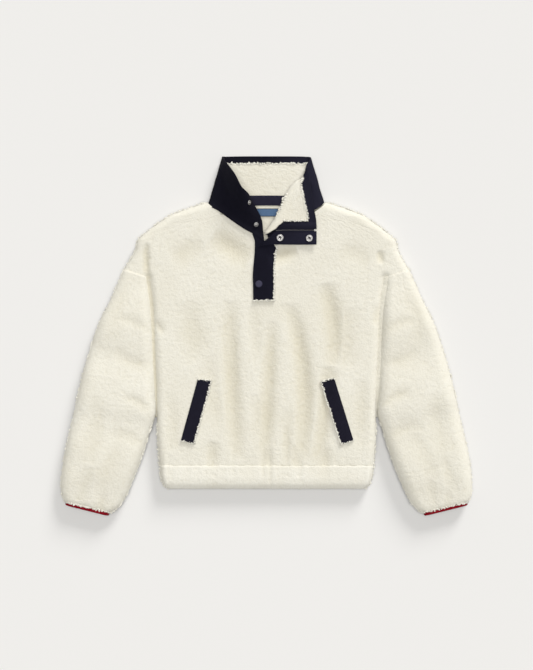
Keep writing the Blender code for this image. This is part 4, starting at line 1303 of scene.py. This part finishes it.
def neck_skirt(grid, stations):
    """Carries the lowest of the shell out over the front's pile, so that it covers the neck seam."""
    down = grid[:, 0] - grid[:, 4]
    down[:, 2] = 0
    down = unit(down)
    fade = grown(-stations, -SKIRT_END, 1.5)
    rise = np.clip(BODY_TOP + 0.0030 - grid[:, 0, 2], 0, 0.006)
    out = SKIRT * down + rise[:, None] * upward(1)
    share = bell(arc(grid, 1), SKIRT_REACH)
    return (fade[:, None] * share)[..., None] * out[:, None]


def make_collar():
    """The collar: navy outside, sherpa lining within, and the navy facing inside its upper edge."""
    depth = bpy.context.scene.jacket_pile.height
    stations = collar_stations(1.2 * bpy.context.scene.jacket_pile.step)
    across = np.concatenate([np.linspace(0, 3, 19), np.linspace(3, 5, 10)[1:], np.linspace(5, 8, 19)[1:]])
    grid, normals = collar_frames(stations, np.concatenate([across, np.linspace(8, 9, 6)[1:]]))
    wrinkle = sum(waver(grid, pattern) for pattern in COLLAR_WRINKLES)
    free = np.clip(sunk_edges(grid, 0.02, first_column=1), 0, 1)
    shift = (wrinkle * (1 - free))[..., None] * normals + neck_skirt(grid, stations)
    outer = cloth("collar_shell", grid - NAVY * normals + shift, grid + shift, smooth=50)
    finished(outer, "navy_twill", ["collar_outer"])

    wide = len(across)
    lining, out = grid[:, :wide], normals[:, :wide]
    height = pile(lining + 0.2)
    far = (LINING - 0.4 * depth + 0.8 * depth * (height - 0.5)) * pinch(stations)[:, None]
    far = far * (1 - 0.2 * sunk_edges(lining, 0.003, last_column=1))
    far = far * (1 - 0.85 * sunk_edges(lining, 0.006, first_column=1))
    covered = (stations[:, None] > BAND_FROM[0]) & (across[None] > BAND_FROM[1])
    hidden = covered & (lining[..., 1] < between(BAND_EDGE, lining[..., 0]))
    keep = ~(hidden[:-1, :-1] | hidden[1:, 1:])
    shade = np.clip(0.75 - 0.75 * height, 0, 1)
    top, under = lining + far[..., None] * out, lining + 2 * SEAM * out
    wall = cloth("collar_pile", top, under, keep, shade=shade, smooth=0)
    finished(wall, "sherpa_pile", ["collar_lining"])

    base, out = grid[:, wide - 1 :], normals[:, wide - 1 :]
    strip = cloth("collar_facing_strip", base + (2 * SEAM + NAVY) * out, base + 2 * SEAM * out, smooth=50)
    finished(strip, "navy_twill", ["collar_facing"])


def make_zip_band():
    """The navy band over the zip's upper side: straight from the zip up to its seam with the lining."""
    along = np.linspace(0, 1, 60)
    (low_start, low_end), (high_start, high_end) = ZIP_BAND_X
    lower_x = low_start + along * (low_end - low_start)
    lower_y = between(CHAIN, lower_x) + 0.0022
    upper_x = high_start + along * (high_end - high_start)
    upper_y = ZIP_BAND_TOP - 0.0024 * along
    share = np.linspace(0, 1, 12)
    x = lower_x[:, None] + (upper_x - lower_x)[:, None] * share
    y = lower_y[:, None] + (upper_y - lower_y)[:, None] * share
    z = ZIP_BAND_HEIGHT + 0.0016 * np.sin(np.pi * share) + 0.0010 * along[:, None] + 0 * x
    lower = np.stack([x, y, z], -1)
    band = cloth("zip_band", lower + upward(NAVY), lower, smooth=50)
    finished(band, "navy_twill", ["zip_facing"])


# ---------------------------------------------------------------- flap and welts


def cloth_top(x, y):
    """Height of the front's pile under a piece that lies on it."""
    return front_height(x, y) + 0.30 * bpy.context.scene.jacket_pile.height


def lying_strip(name, x, y, nodes, finish, crown):
    """A doubled strip on the front: it follows the pile below, thicker by `crown` along its middle."""
    share = np.linspace(-1, 1, x.shape[1])[None]
    lower = np.stack([x, y, cloth_top(x, y) + LYING_GAP], -1)
    puff = crown * (1 - share**4)
    upper = lower + np.stack([0 * x, 0 * y, DOUBLE_NAVY - 0.0008 + puff + 0 * x], -1)
    strip = cloth(name, upper, lower, smooth=50)
    finished(strip, finish, nodes)


def flap_plan():
    """The lower flap in plan: rows down it, columns from its left edge to its right edge."""
    y = spaced(FLAP_LOWER[:, 0], 0.003)
    edges = follow(FLAP_LOWER[:, 0], FLAP_LOWER[:, 1:], y)
    x = edges[:, :1] + (edges[:, 1:] - edges[:, :1]) * np.linspace(0, 1, 16)
    return x, y[:, None] + 0 * x


def turned_plan():
    """The turned-out end of the flap: rows along it, columns from its upper edge to its lower edge.

    Each column's height ripples as a sine of its place, and sags as the square of its share.
    """
    stations = np.linspace(0, len(FLAP_TURNED) - 1, 70)
    rows = at_stations(FLAP_TURNED, stations)
    top, bottom, height = rows[:, 0:2], rows[:, 2:4], rows[:, 4]
    share = np.linspace(0, 1, 14)
    plan = top[:, None] + (bottom - top)[:, None] * share[None, :, None]
    ripple = 0.0006 * np.sin(plan[..., 0] / 0.013 + 2 * plan[..., 1] / 0.03) * (0.3 + 0.7 * share)
    z = height[:, None] + ripple - 0.0012 * share**2
    return np.concatenate([plan, z[..., None]], -1)


def make_flaps():
    """The flap over the zip: its lower length on the front, and its end turned out at the neck."""
    x, y = flap_plan()
    lying_strip("flap_strip_lower", x, y, ["flap_lower"], "navy_flap", 0.0008)
    under = turned_plan()
    normals = directions(under)
    normals *= np.sign(normals[..., 2:])
    turned = cloth("flap_strip_turned", under + DOUBLE_NAVY * normals, under, smooth=50)
    finished(turned, "navy_flap", ["flap_turned"])


def welt_plan(side):
    """A welt's grid: rows down it, columns from its outer edge to its inner edge."""
    top_outer, top_inner, low_inner, low_outer = WELTS[side]
    down, share = np.meshgrid(np.linspace(0, 1, 48), np.linspace(0, 1, 12), indexing="ij")
    outer = top_outer + down[..., None] * (low_outer - top_outer)
    inner = top_inner + down[..., None] * (low_inner - top_inner)
    return outer + share[..., None] * (inner - outer)


def make_welts():
    """The two pocket welts."""
    for side in WELTS:
        x, y = np.moveaxis(welt_plan(side), -1, 0)
        lying_strip(f"welt_strip_{side}", x, y, [f"welt_{side}"], "navy_welt", 0.0012)


# ---------------------------------------------------------------- tufts and stitches


def edge_line(points, step):
    """Places about a step apart along an open line of points, and the line's direction there."""
    points = np.asarray(points, dtype=float)
    length = np.concatenate([[0], np.cumsum(np.linalg.norm(np.diff(points, axis=0), axis=1))])
    at = np.linspace(0, length[-1], max(2, int(length[-1] / step)))
    line = np.stack([np.interp(at, length, points[:, k]) for k in range(points.shape[1])], -1)
    along = np.gradient(line, axis=0)
    return line, unit(along)


def random_frames(centres, seed):
    """A random turn for each place: about the vertical by one random angle, after X by another."""
    angles = 2 * np.pi * scattered(np.round(centres / 0.0004), seed)
    c, s = np.cos(angles), np.sin(angles)
    zero, one = 0 * c[:, 0], 0 * c[:, 0] + 1
    about_z = [c[:, 0], -s[:, 0], zero, s[:, 0], c[:, 0], zero, zero, zero, one]
    about_x = [one, zero, zero, zero, c[:, 1], -s[:, 1], zero, s[:, 1], c[:, 1]]
    return np.stack(about_z, -1).reshape(-1, 3, 3) @ np.stack(about_x, -1).reshape(-1, 3, 3)


def tufts(name, lines, reach, seed, rows=3, swell=1.0):
    """Small tufts of pile along edges: rows of bent lumps, each moved by up to `reach`."""
    radius = swell * bpy.context.scene.jacket_pile.tuft
    lump, faces = ball(3, 6)
    lump = lump * np.array([1.0, 0.8, 1.35])
    lump[:, 0] += 0.35 * lump[:, 2] ** 2
    places = [edge_line(points, radius * 1.05)[0] for points in lines]
    centres = np.concatenate([place + 1e-5 * row for place in places for row in range(rows)])
    cells = np.round(centres / 0.00005)
    sizes = radius * (0.55 + 0.75 * scattered(cells, seed + 5))
    centres = centres + (scattered(cells, seed) - 0.5) * np.array([2 * reach, 2 * reach, 0.0016])
    thing = stamped(name, lump, faces, centres, random_frames(centres, seed), sizes)
    finished(thing, "sherpa_pile")


def level(x, y, z):
    """A line in plan at one height."""
    return np.column_stack([x, y, 0 * y + z])


def raised(plan, height):
    """Gives a line in plan a height above the front's pile."""
    plan = np.asarray(plan, dtype=float)
    return np.column_stack([plan, cloth_top(plan[:, 0], plan[:, 1]) + height])


def make_edge_tufts():
    """Pile that overlaps the navy: the flap's right side and foot, the welts' edges, the facing and the
    cuffs.
    """
    x, y = flap_plan()
    right = np.column_stack([x[:, -1], y[:, -1]])[y[:, -1] < 0.186] + np.array([0.0014, 0])
    foot = np.column_stack([x[0], y[0]]) - np.array([0, 0.0008])
    tufts("tufts_flap", [raised(right, 0.0022), raised(foot, 0.0022)], 0.0016, 61.0)
    plans = [welt_plan(side) for side in WELTS]
    lines = [raised(line, 0.0020) for plan in plans for line in (plan[:, -1], plan[0], plan[-1])]
    tufts("tufts_welts", lines, 0.0016, 67.0)
    stations = np.linspace(5.6, 18.9, 240)
    grid, normals = collar_frames(stations, np.array([3.9, 4.0, 7.85, 8.0, 8.12]))
    out = normals * (pinch(stations) * (LINING - 0.0014))[:, None, None]
    edge = (grid + out)[:, 3]
    tufts("tufts_facing", [edge[stations < 12.3], edge[stations > 14.7]], 0.0020, 71.0)
    lapel = (grid + 1.5 * out)[:, 1][(stations > 16.9) & (stations < 19.6)]
    tufts("tufts_lapel", [lapel], 0.0026, 97.0, swell=1.4)
    band = level(np.linspace(0.036, 0.086, 20), np.full(20, 0.2372), 0.0386)
    tufts("tufts_band", [band], 0.0012, 73.0)
    rings = [ring_section(sleeve_rings(np.array([11.76]), side), 0.0004, 0.0, 30, 8)[0] for side in (-1, 1)]
    tufts("tufts_cuffs", [ring[ring[:, 2] > 0.006] for ring in rings], 0.0014, 79.0, rows=2)


def make_creases():
    """The pile that meets where the sleeves lie against the body.

    Across, each strip's height is a parabola with a lean; along, it follows the valley's floor,
    lifted but for its lower end, and it goes under the shoulder at its top.
    """
    step = bpy.context.scene.jacket_pile.step
    y = np.linspace(CREASE_TOP_Y, CREASE_END_Y, int(CREASE_LENGTH / step))
    sleeve = np.interp(-y, -SLEEVE[:, 3], SLEEVE[:, 2])
    middle = (np.maximum(side_width(y), sleeve - 0.002) + sleeve) / 2
    bottom = between(CREASE_FLOOR, y)
    across = np.linspace(-1, 1, 9)
    for name, side, half, lift, hollow, lean, dark in CREASES:
        x = side * (middle[:, None] + half * across + 0.4 * lean)
        up = lift * grown(y, CREASE_RISES_Y, 0.06) - CREASE_SINK * grown(y, CREASE_SINKS_Y, 0.03)
        z = (bottom + up)[:, None] + hollow * across**2 + lean * across
        valley = np.stack([x, y[:, None] + 0 * x, z], -1)
        moved, deep = piled(valley, np.array([0, 0, 1.0]), -0.0013, 0.0017)
        shade = np.clip(0.5 * deep + dark * (1 - across**2), 0, 1)
        wall = cloth(f"crease_pile_{name}", moved, valley - upward(CREASE_WALL), shade=shade, smooth=0)
        finished(wall, "sherpa_pile")


def outlines():
    """The jacket's outline a little inside it: the body's hem and sides, and each shoulder and sleeve."""
    body, arms = [], []
    half = follow(BAND_ROWS[:, 0], BAND_ROWS[:, 1], np.linspace(0.02, 1, 12))
    low = HEM_Y - BAND_HEIGHT
    for side in (-1, 1):
        y = np.linspace(-0.182, HEM_Y, 30)
        body.append(level(side * (side_width(y) - 0.0010), y, OUTLINE_Z))
        y = np.linspace(HEM_Y, low, 12)
        body.append(level(side * (half - 0.0014), y, OUTLINE_Z))
        y = np.linspace(0.276, 0.138, 60)
        arms.append(level(side * (between(SHOULDER, y) - ARM_INSET), y, OUTLINE_Z))
        rings = sleeve_rings(np.linspace(0.05, 11.7, 80), side)
        arms.append(level(rings[:, 0] - side * ARM_INSET, rings[:, 1], OUTLINE_Z))
        free = rings[rings[:, 3] < -0.180]
        arms.append(level(free[:, 2] + side * ARM_INSET, free[:, 3], OUTLINE_Z))
    x = np.linspace(-0.206, 0.206, 60)
    body.append(level(x, 0 * x + low + 0.0020, 0.0150))
    return body, arms


def make_outline_tufts():
    """Loose pile along the jacket's outline."""
    body, arms = outlines()
    tufts("tufts_body_outline", body, 0.0020, 83.0, rows=2)
    tufts("tufts_arm_outline", arms, 0.0020, 89.0, rows=2)


def stitches(line, up, length):
    """Places, frames and sizes of a row of stitches: each lies along the line, a little apart."""
    place, along = edge_line(line, (1 + STITCH_GAP) * length)
    share = np.linspace(0, 1, len(place))
    up = np.stack([np.interp(share, np.linspace(0, 1, len(up)), part) for part in up.T], -1)
    side = unit(np.cross(up, along))
    lift = np.cross(along, side)
    sizes = np.tile([*THREAD_HALF, length / 2], (len(place), 1))
    return place + THREAD_LIFT * lift, np.stack([side, lift, along], -1), sizes


def make_stitches():
    """Topstitching: round the flap and welts, along the collar's facing and its front edge."""
    sky = np.array([[0, 0, 1.0], [0, 0, 1.0]])
    rows = []
    x, y = flap_plan()
    left = np.column_stack([x[:, 0] + STITCH_INSET, y[:, 0]])[2:]
    right = np.column_stack([x[:, -1] - STITCH_INSET, y[:, -1]])[2:-8]
    foot = np.column_stack([x[2, 1:-1], y[2, 1:-1] - 0.003])
    box_top = np.column_stack([x[9, 1:-1], y[9, 1:-1]])
    for line in (left, right, foot, box_top):
        rows.append((raised(line, LYING_GAP + DOUBLE_NAVY), sky))
    for side in WELTS:
        plan = welt_plan(side)
        for line in (plan[1:-1, 1], plan[1:-1, -2], plan[2, 1:-1], plan[-3, 1:-1]):
            rows.append((raised(line, LYING_GAP + DOUBLE_NAVY + 0.0002), sky))
    under = turned_plan()
    for line in (under[3:-3, 1], under[3:-3, -2], under[-3, 1:-1]):
        rows.append((line + upward(DOUBLE_NAVY + TOUCHING), sky))
    stations = np.linspace(0.2, 19.6, 300)
    for place in (8.12, 8.84):
        grid, normals = collar_frames(stations, place + BESIDE)
        rows.append((grid[:, 1] + (2 * SEAM + NAVY) * normals[:, 1], normals[:, 1]))
    stations = np.linspace(0.2, 14, 220)
    for place in (8.84, 0.22):
        grid, normals = collar_frames(stations, place + BESIDE)
        line = grid[:, 1] - NAVY * normals[:, 1]
        seen = (line[:, 2] > 0.004) & (stations < 7)
        rows.append((line[seen], -normals[seen, 1]))
    grid, normals = collar_frames(np.array([0.05, 0.12, 0.2]), np.linspace(0.3, 8.7, 60))
    rows.append((grid[1] - NAVY * normals[1], -normals[1]))
    length = bpy.context.scene.jacket_navy.stitch
    parts = zip(*(stitches(line, up, length) for line, up in rows))
    finished(stamped("topstitching", *ball(3, 6), *map(np.concatenate, parts)), "thread")


# ---------------------------------------------------------------- snaps, zip, label and cuffs


def turned_profile(profile, sides):
    """A round form: a profile of radius and height turned about the vertical, its ends closed."""
    turn = np.linspace(0, 2 * np.pi, sides, endpoint=False)
    radius = np.maximum(profile[:, 0], 0.00002)[:, None]
    points = np.stack([radius * np.cos(turn), radius * np.sin(turn), profile[:, 1:] + 0 * turn], -1)
    faces = squares(len(profile), sides, True).reshape(-1, 4)
    bottom = np.arange(sides)
    top = bottom + (len(profile) - 1) * sides
    joint = np.stack([top, np.roll(top, -1), np.roll(bottom, -1), bottom], -1)
    return points.reshape(-1, 3), np.concatenate([faces, joint])


def turned_to(direction):
    """The turn that takes the vertical to a direction."""
    return np.array(Vector(direction).to_track_quat("Z", "Y").to_matrix())


def snap(name, profile, at, direction, material, nodes):
    """One part of a snap: its profile, smoothed by a curve through its points, turned about its axis."""
    count = len(profile)
    size = np.array([SNAP_RADIUS, CAP_HEIGHT])
    fine = at_stations(profile * size, np.linspace(0, count - 1, 6 * count))
    fine[:, 0] = np.maximum(fine[:, 0], 0)
    points, faces = turned_profile(fine, 40)
    points = points @ turned_to(direction).T + np.array(at)
    if volume(points, faces) < 0:
        faces = faces[:, ::-1]
    finished(make_mesh(name, points, faces, smooth=35), material, nodes)


def make_snaps():
    """Snaps: the closed one's cap on the flap, two open sockets, and two studs on the collar's front."""
    up = (0, 0, 1)
    x, y = CAP_AT
    height = float(cloth_top(np.array([x]), np.array([y]))[0]) + LYING_GAP + DOUBLE_NAVY
    snap("snap_cap_enamel", CAP, (x, y, height - 0.0004), up, "enamel", ["snap_cap"])
    flat = turned_plan().reshape(-1, 3)
    for number, (x, y) in enumerate(SOCKETS_AT, 1):
        nearest = flat[np.argmin(np.hypot(flat[:, 0] - x, flat[:, 1] - y))]
        at = (x, y, nearest[2] + DOUBLE_NAVY - TOUCHING)
        snap(f"snap_socket_ring_{number}", SOCKET, at, up, "nickel", [f"snap_socket_{number}"])
    for number, (station, share) in enumerate(STUDS_AT, 1):
        grid, normals = collar_frames(station + BESIDE, share * 9 + 2 * BESIDE)
        out = -normals[1, 1]
        at = grid[1, 1] + (NAVY + TOUCHING) * out
        out = unit(out + share * STUD_TILT)
        snap(f"snap_stud_post_{number}", STUD, at, out, "nickel", [f"snap_stud_{number}"])


def make_zip():
    """The zip: a row of metal teeth along its tape, and the stop at its outer end."""
    place, along = edge_line(CHAIN, TOOTH_PITCH)
    side = unit(np.cross(np.tile([0.0, 0.0, 1.0], (len(place), 1)), along))
    frames = np.stack([along, side, np.cross(along, side)], -1)
    slide = np.where(np.arange(len(place)) % 2 == 0, 1, -1)[:, None] * TOOTH_SLIDE * side
    place = place + slide + upward(0.0010)
    block = ball(4, 8, power=0.35)
    teeth = stamped("zip_teeth", *block, place, frames, np.tile(TOOTH, (len(place), 1)), smooth=30)
    finished(teeth, "nickel", ["zip_chain"])

    line, _ = edge_line(CHAIN, 0.002)
    across = np.linspace(-1, 1, 6)
    y = line[:, 1:2] + 0.0050 * across
    lower = np.stack([line[:, :1] + 0 * y, y, line[:, 2:] - 0.0010 + 0.0002 * across**2], -1)
    tape = cloth("zip_tape", lower + upward(0.0008), lower, smooth=50)
    finished(tape, "navy_tape")

    stop = stamped("zip_stop", *block, ZIP_STOP_AT[None], np.eye(3)[None], ZIP_STOP[None], smooth=30)
    finished(stop, "nickel", ["zip_top_stop"])


def make_inside_of_neck():
    """The tape over the back neck seam, and the plain woven label below it."""
    z = SHERPA + INSIDE_GAP
    along, share = np.linspace(-1, 1, 90), np.linspace(-0.5, 0.5, 10)
    x, share = np.meshgrid(along * TAPE_HALF_LENGTH, share, indexing="ij")
    bend = -BACK_NECK_RISE * (x / NECK_HALF) ** 2
    place = np.stack([x, TAPE_Y + share * TAPE_WIDTH + bend, 0 * x], -1)
    ripple = waver(place, TAPE_RIPPLE) + 0.0005 * (1 - (2 * share) ** 4)
    lower = place + upward(z)
    upper = lower + np.stack([0 * x, 0 * x, TAPE_HEIGHT - 0.0002 + ripple], -1)
    tape = cloth("neck_tape_strip", upper, lower, smooth=50)
    finished(tape, "navy_tape", ["neck_tape"])

    wide, tall = LABEL_SIZE
    x, y = np.meshgrid(
        LABEL_CENTRE[0] + np.linspace(-0.5, 0.5, 40) * wide,
        LABEL_CENTRE[1] + np.linspace(-0.5, 0.5, 16) * tall,
        indexing="ij",
    )
    lift = 0.0005 * np.cos((x - LABEL_CENTRE[0]) / wide * np.pi) + 0.0002 * np.sin(x / 0.006)
    lower = np.stack([x, y, z + 0.0002 + 0 * x], -1)
    upper = lower + np.stack([0 * x, 0 * x, LABEL_HEIGHT - 0.0003 + lift], -1)
    label = cloth("label_patch", upper.swapaxes(0, 1), lower.swapaxes(0, 1), smooth=50)
    finished(label, "label_weave", ["label"])


def make_cuff_bindings():
    """Red knit bindings: a ring beyond each cuff, its section rounded over its free edge."""
    for name, side in (("left", -1), ("right", 1)):
        last = sleeve_rings(np.array([12.0]), side)[0]
        chord = last[0:2] - last[2:4]
        run = side * unit(np.array([chord[1], -chord[0]]))
        reach = np.linspace(-0.002 - CUFF_SHOWN, BINDING_LENGTH, 14)
        rings = np.tile(last, (len(reach), 1))
        rings[:, 0:2] += run * reach[:, None]
        rings[:, 2:4] += run * reach[:, None]
        over = grown(reach, 0.6 * BINDING_LENGTH, 0.4 * BINDING_LENGTH)[:, None, None]
        outer = ring_section(rings, BINDING_INSET - 0.0008, 0.0, 60, 14)
        inner = ring_section(rings, BINDING_INSET, BINDING_WALL, 60, 14)
        inward = (inner - outer) * 0.42 * over**2
        binding = cloth(f"cuff_binding_knit_{name}", outer + inward, inner - inward, around=True, smooth=60)
        finished(binding, "red_knit", [f"cuff_binding_{name}"])


# ---------------------------------------------------------------- stage


def make_stage():
    """A plain floor, a sun beyond the collar to the right, one overhead, even fill, and the camera."""
    settings = bpy.context.scene.jacket_stage
    make_floor_finish(settings.floor)
    corners = np.array([(-1, -1, 0), (1, -1, 0), (1, 1, 0), (-1, 1, 0)]) * FLOOR_HALF - [0, 0, FLOOR_GAP]
    mesh = bpy.data.meshes.new("floor")
    mesh.from_pydata(corners.tolist(), [], [(0, 1, 2, 3)])
    floor = bpy.data.objects.new("floor", mesh)
    bpy.context.scene.collection.objects.link(floor)
    mesh.materials.append(bpy.data.materials["floor"])

    world = bpy.data.worlds.new("studio")
    bpy.context.scene.world = world
    world.use_nodes = True
    sky = world.node_tree.nodes["Background"].inputs
    sky["Color"].default_value = (1.0, 0.995, 0.985, 1)
    sky["Strength"].default_value = settings.soft

    for (name, place, width), strength in zip(LAMPS, (settings.lamp, settings.ceiling)):
        lamp = bpy.data.lights.new(name, "SUN")
        lamp.angle = math.radians(width)
        lamp.energy = strength
        lamp.color = (1.0, 0.99, 0.975)
        lamp.cycles.max_bounces = 1
        source = bpy.data.objects.new(name, lamp)
        source.location = place
        source.rotation_euler = (-source.location).to_track_quat("-Z", "Y").to_euler()
        bpy.context.scene.collection.objects.link(source)

    lens = bpy.data.cameras.new("camera")
    lens.lens, lens.sensor_width = LENS, SENSOR
    camera = bpy.data.objects.new("camera", lens)
    camera.location = (0, 0, settings.camera)
    bpy.context.scene.collection.objects.link(camera)
    bpy.context.scene.camera = camera
    bpy.context.scene.view_settings.view_transform = "Standard"


def make_finishes():
    """Every material, with the curl and twill patterns that they share."""
    navy, trim = bpy.context.scene.jacket_navy, bpy.context.scene.jacket_trim
    curls, twill = make_curl_group(), make_twill_group()
    make_sherpa_finish(curls)
    flap, tape = tuple(1.2 * value for value in navy.cloth), tuple(1.7 * value for value in navy.welt)
    # The last number for the collar and flap is how much painted light makes them paler towards +X.
    make_navy_finish("navy_twill", tuple(navy.cloth), twill, navy.twill, 1.0, 0.5, 0.8)
    make_navy_finish("navy_flap", flap, twill, navy.twill, -1.0, 0.5, 0.8)
    make_navy_finish("navy_welt", tuple(navy.welt), twill, navy.twill, 1.0, 0.6)
    make_navy_finish("navy_tape", tape, twill, 1.6 * navy.twill, 1.0, 0.5)
    make_navy_finish("thread", tuple(navy.thread), twill, 0.0004, 1.0, 0.2)
    make_metal_finish("nickel", tuple(trim.nickel), 0.38, 1.0, 0.2)
    make_metal_finish("enamel", tuple(trim.cap), 0.75, 0.0, 0.15)
    make_knit_finish("red_knit", tuple(trim.red), 0.0022)
    make_label_finish(tuple(trim.blue))


# ---------------------------------------------------------------- operators


class JACKET_OT_finishes(bpy.types.Operator):
    """Make the materials of the pile, navy cloth, metal, knit and label"""

    bl_idname = "jacket.finishes"
    bl_label = "Finishes"

    def execute(self, context):
        make_finishes()
        return {"FINISHED"}


class JACKET_OT_body(bpy.types.Operator):
    """Build the front and back of the body"""

    bl_idname = "jacket.body"
    bl_label = "Body"

    def execute(self, context):
        make_front()
        make_back()
        return {"FINISHED"}


class JACKET_OT_sleeves(bpy.types.Operator):
    """Build the two sleeves"""

    bl_idname = "jacket.sleeves"
    bl_label = "Sleeves"

    def execute(self, context):
        make_sleeves()
        make_creases()
        return {"FINISHED"}


class JACKET_OT_hem(bpy.types.Operator):
    """Build the gathered hem band"""

    bl_idname = "jacket.hem"
    bl_label = "Hem band"

    def execute(self, context):
        make_hem_bands()
        return {"FINISHED"}


class JACKET_OT_collar(bpy.types.Operator):
    """Build the collar, its lining and facing, and the band beside the zip"""

    bl_idname = "jacket.collar"
    bl_label = "Collar"

    def execute(self, context):
        make_collar()
        make_zip_band()
        return {"FINISHED"}


class JACKET_OT_flaps(bpy.types.Operator):
    """Build the flap over the zip and the two pocket welts"""

    bl_idname = "jacket.flaps"
    bl_label = "Flap and welts"

    def execute(self, context):
        make_flaps()
        make_welts()
        return {"FINISHED"}


class JACKET_OT_cuffs(bpy.types.Operator):
    """Build the red bindings of the cuffs"""

    bl_idname = "jacket.cuffs"
    bl_label = "Cuff bindings"

    def execute(self, context):
        make_cuff_bindings()
        return {"FINISHED"}


class JACKET_OT_neck(bpy.types.Operator):
    """Build the neck tape and the label"""

    bl_idname = "jacket.neck"
    bl_label = "Neck tape and label"

    def execute(self, context):
        make_inside_of_neck()
        return {"FINISHED"}


class JACKET_OT_metal(bpy.types.Operator):
    """Build the snaps and the zip"""

    bl_idname = "jacket.metal"
    bl_label = "Snaps and zip"

    def execute(self, context):
        make_snaps()
        make_zip()
        return {"FINISHED"}


class JACKET_OT_sewing(bpy.types.Operator):
    """Add the topstitching and the tufts of pile that overlap sewn edges"""

    bl_idname = "jacket.sewing"
    bl_label = "Stitches and tufts"

    def execute(self, context):
        make_stitches()
        make_edge_tufts()
        make_outline_tufts()
        return {"FINISHED"}


class JACKET_OT_stage(bpy.types.Operator):
    """Set the floor, lamps and camera"""

    bl_idname = "jacket.stage"
    bl_label = "Stage"

    def execute(self, context):
        make_stage()
        return {"FINISHED"}


class JACKET_PT_build(bpy.types.Panel):
    """Lists the jacket's operators and settings"""

    bl_idname = "JACKET_PT_build"
    bl_label = "Jacket"
    bl_space_type = "VIEW_3D"
    bl_region_type = "UI"
    bl_category = "Jacket"

    def draw(self, context):
        for kind in OPERATORS:
            self.layout.operator(kind.bl_idname)
        for settings in SETTINGS:
            for key in SETTINGS[settings].__annotations__:
                self.layout.prop(getattr(context.scene, settings), key)


SETTINGS = {
    "jacket_pile": PileSettings,
    "jacket_navy": NavySettings,
    "jacket_trim": TrimSettings,
    "jacket_stage": StageSettings,
}
OPERATORS = (
    JACKET_OT_stage,
    JACKET_OT_finishes,
    JACKET_OT_body,
    JACKET_OT_sleeves,
    JACKET_OT_hem,
    JACKET_OT_collar,
    JACKET_OT_flaps,
    JACKET_OT_cuffs,
    JACKET_OT_neck,
    JACKET_OT_metal,
    JACKET_OT_sewing,
)


def register():
    """Adds the settings, the operators and the panel."""
    for name, kind in SETTINGS.items():
        bpy.utils.register_class(kind)
        setattr(bpy.types.Scene, name, bpy.props.PointerProperty(type=kind))
    for kind in (*OPERATORS, JACKET_PT_build):
        bpy.utils.register_class(kind)


def unregister():
    """Takes them away again, the last first."""
    for kind in reversed((*OPERATORS, JACKET_PT_build)):
        bpy.utils.unregister_class(kind)
    for name, kind in reversed(SETTINGS.items()):
        delattr(bpy.types.Scene, name)
        bpy.utils.unregister_class(kind)


def main():
    """Builds the jacket in order."""
    register()
    bpy.ops.jacket.stage()
    bpy.ops.jacket.finishes()
    bpy.ops.jacket.body()
    bpy.ops.jacket.sleeves()
    bpy.ops.jacket.hem()
    bpy.ops.jacket.collar()
    bpy.ops.jacket.flaps()
    bpy.ops.jacket.cuffs()
    bpy.ops.jacket.neck()
    bpy.ops.jacket.metal()
    bpy.ops.jacket.sewing()


if __name__ == "__main__":
    main()
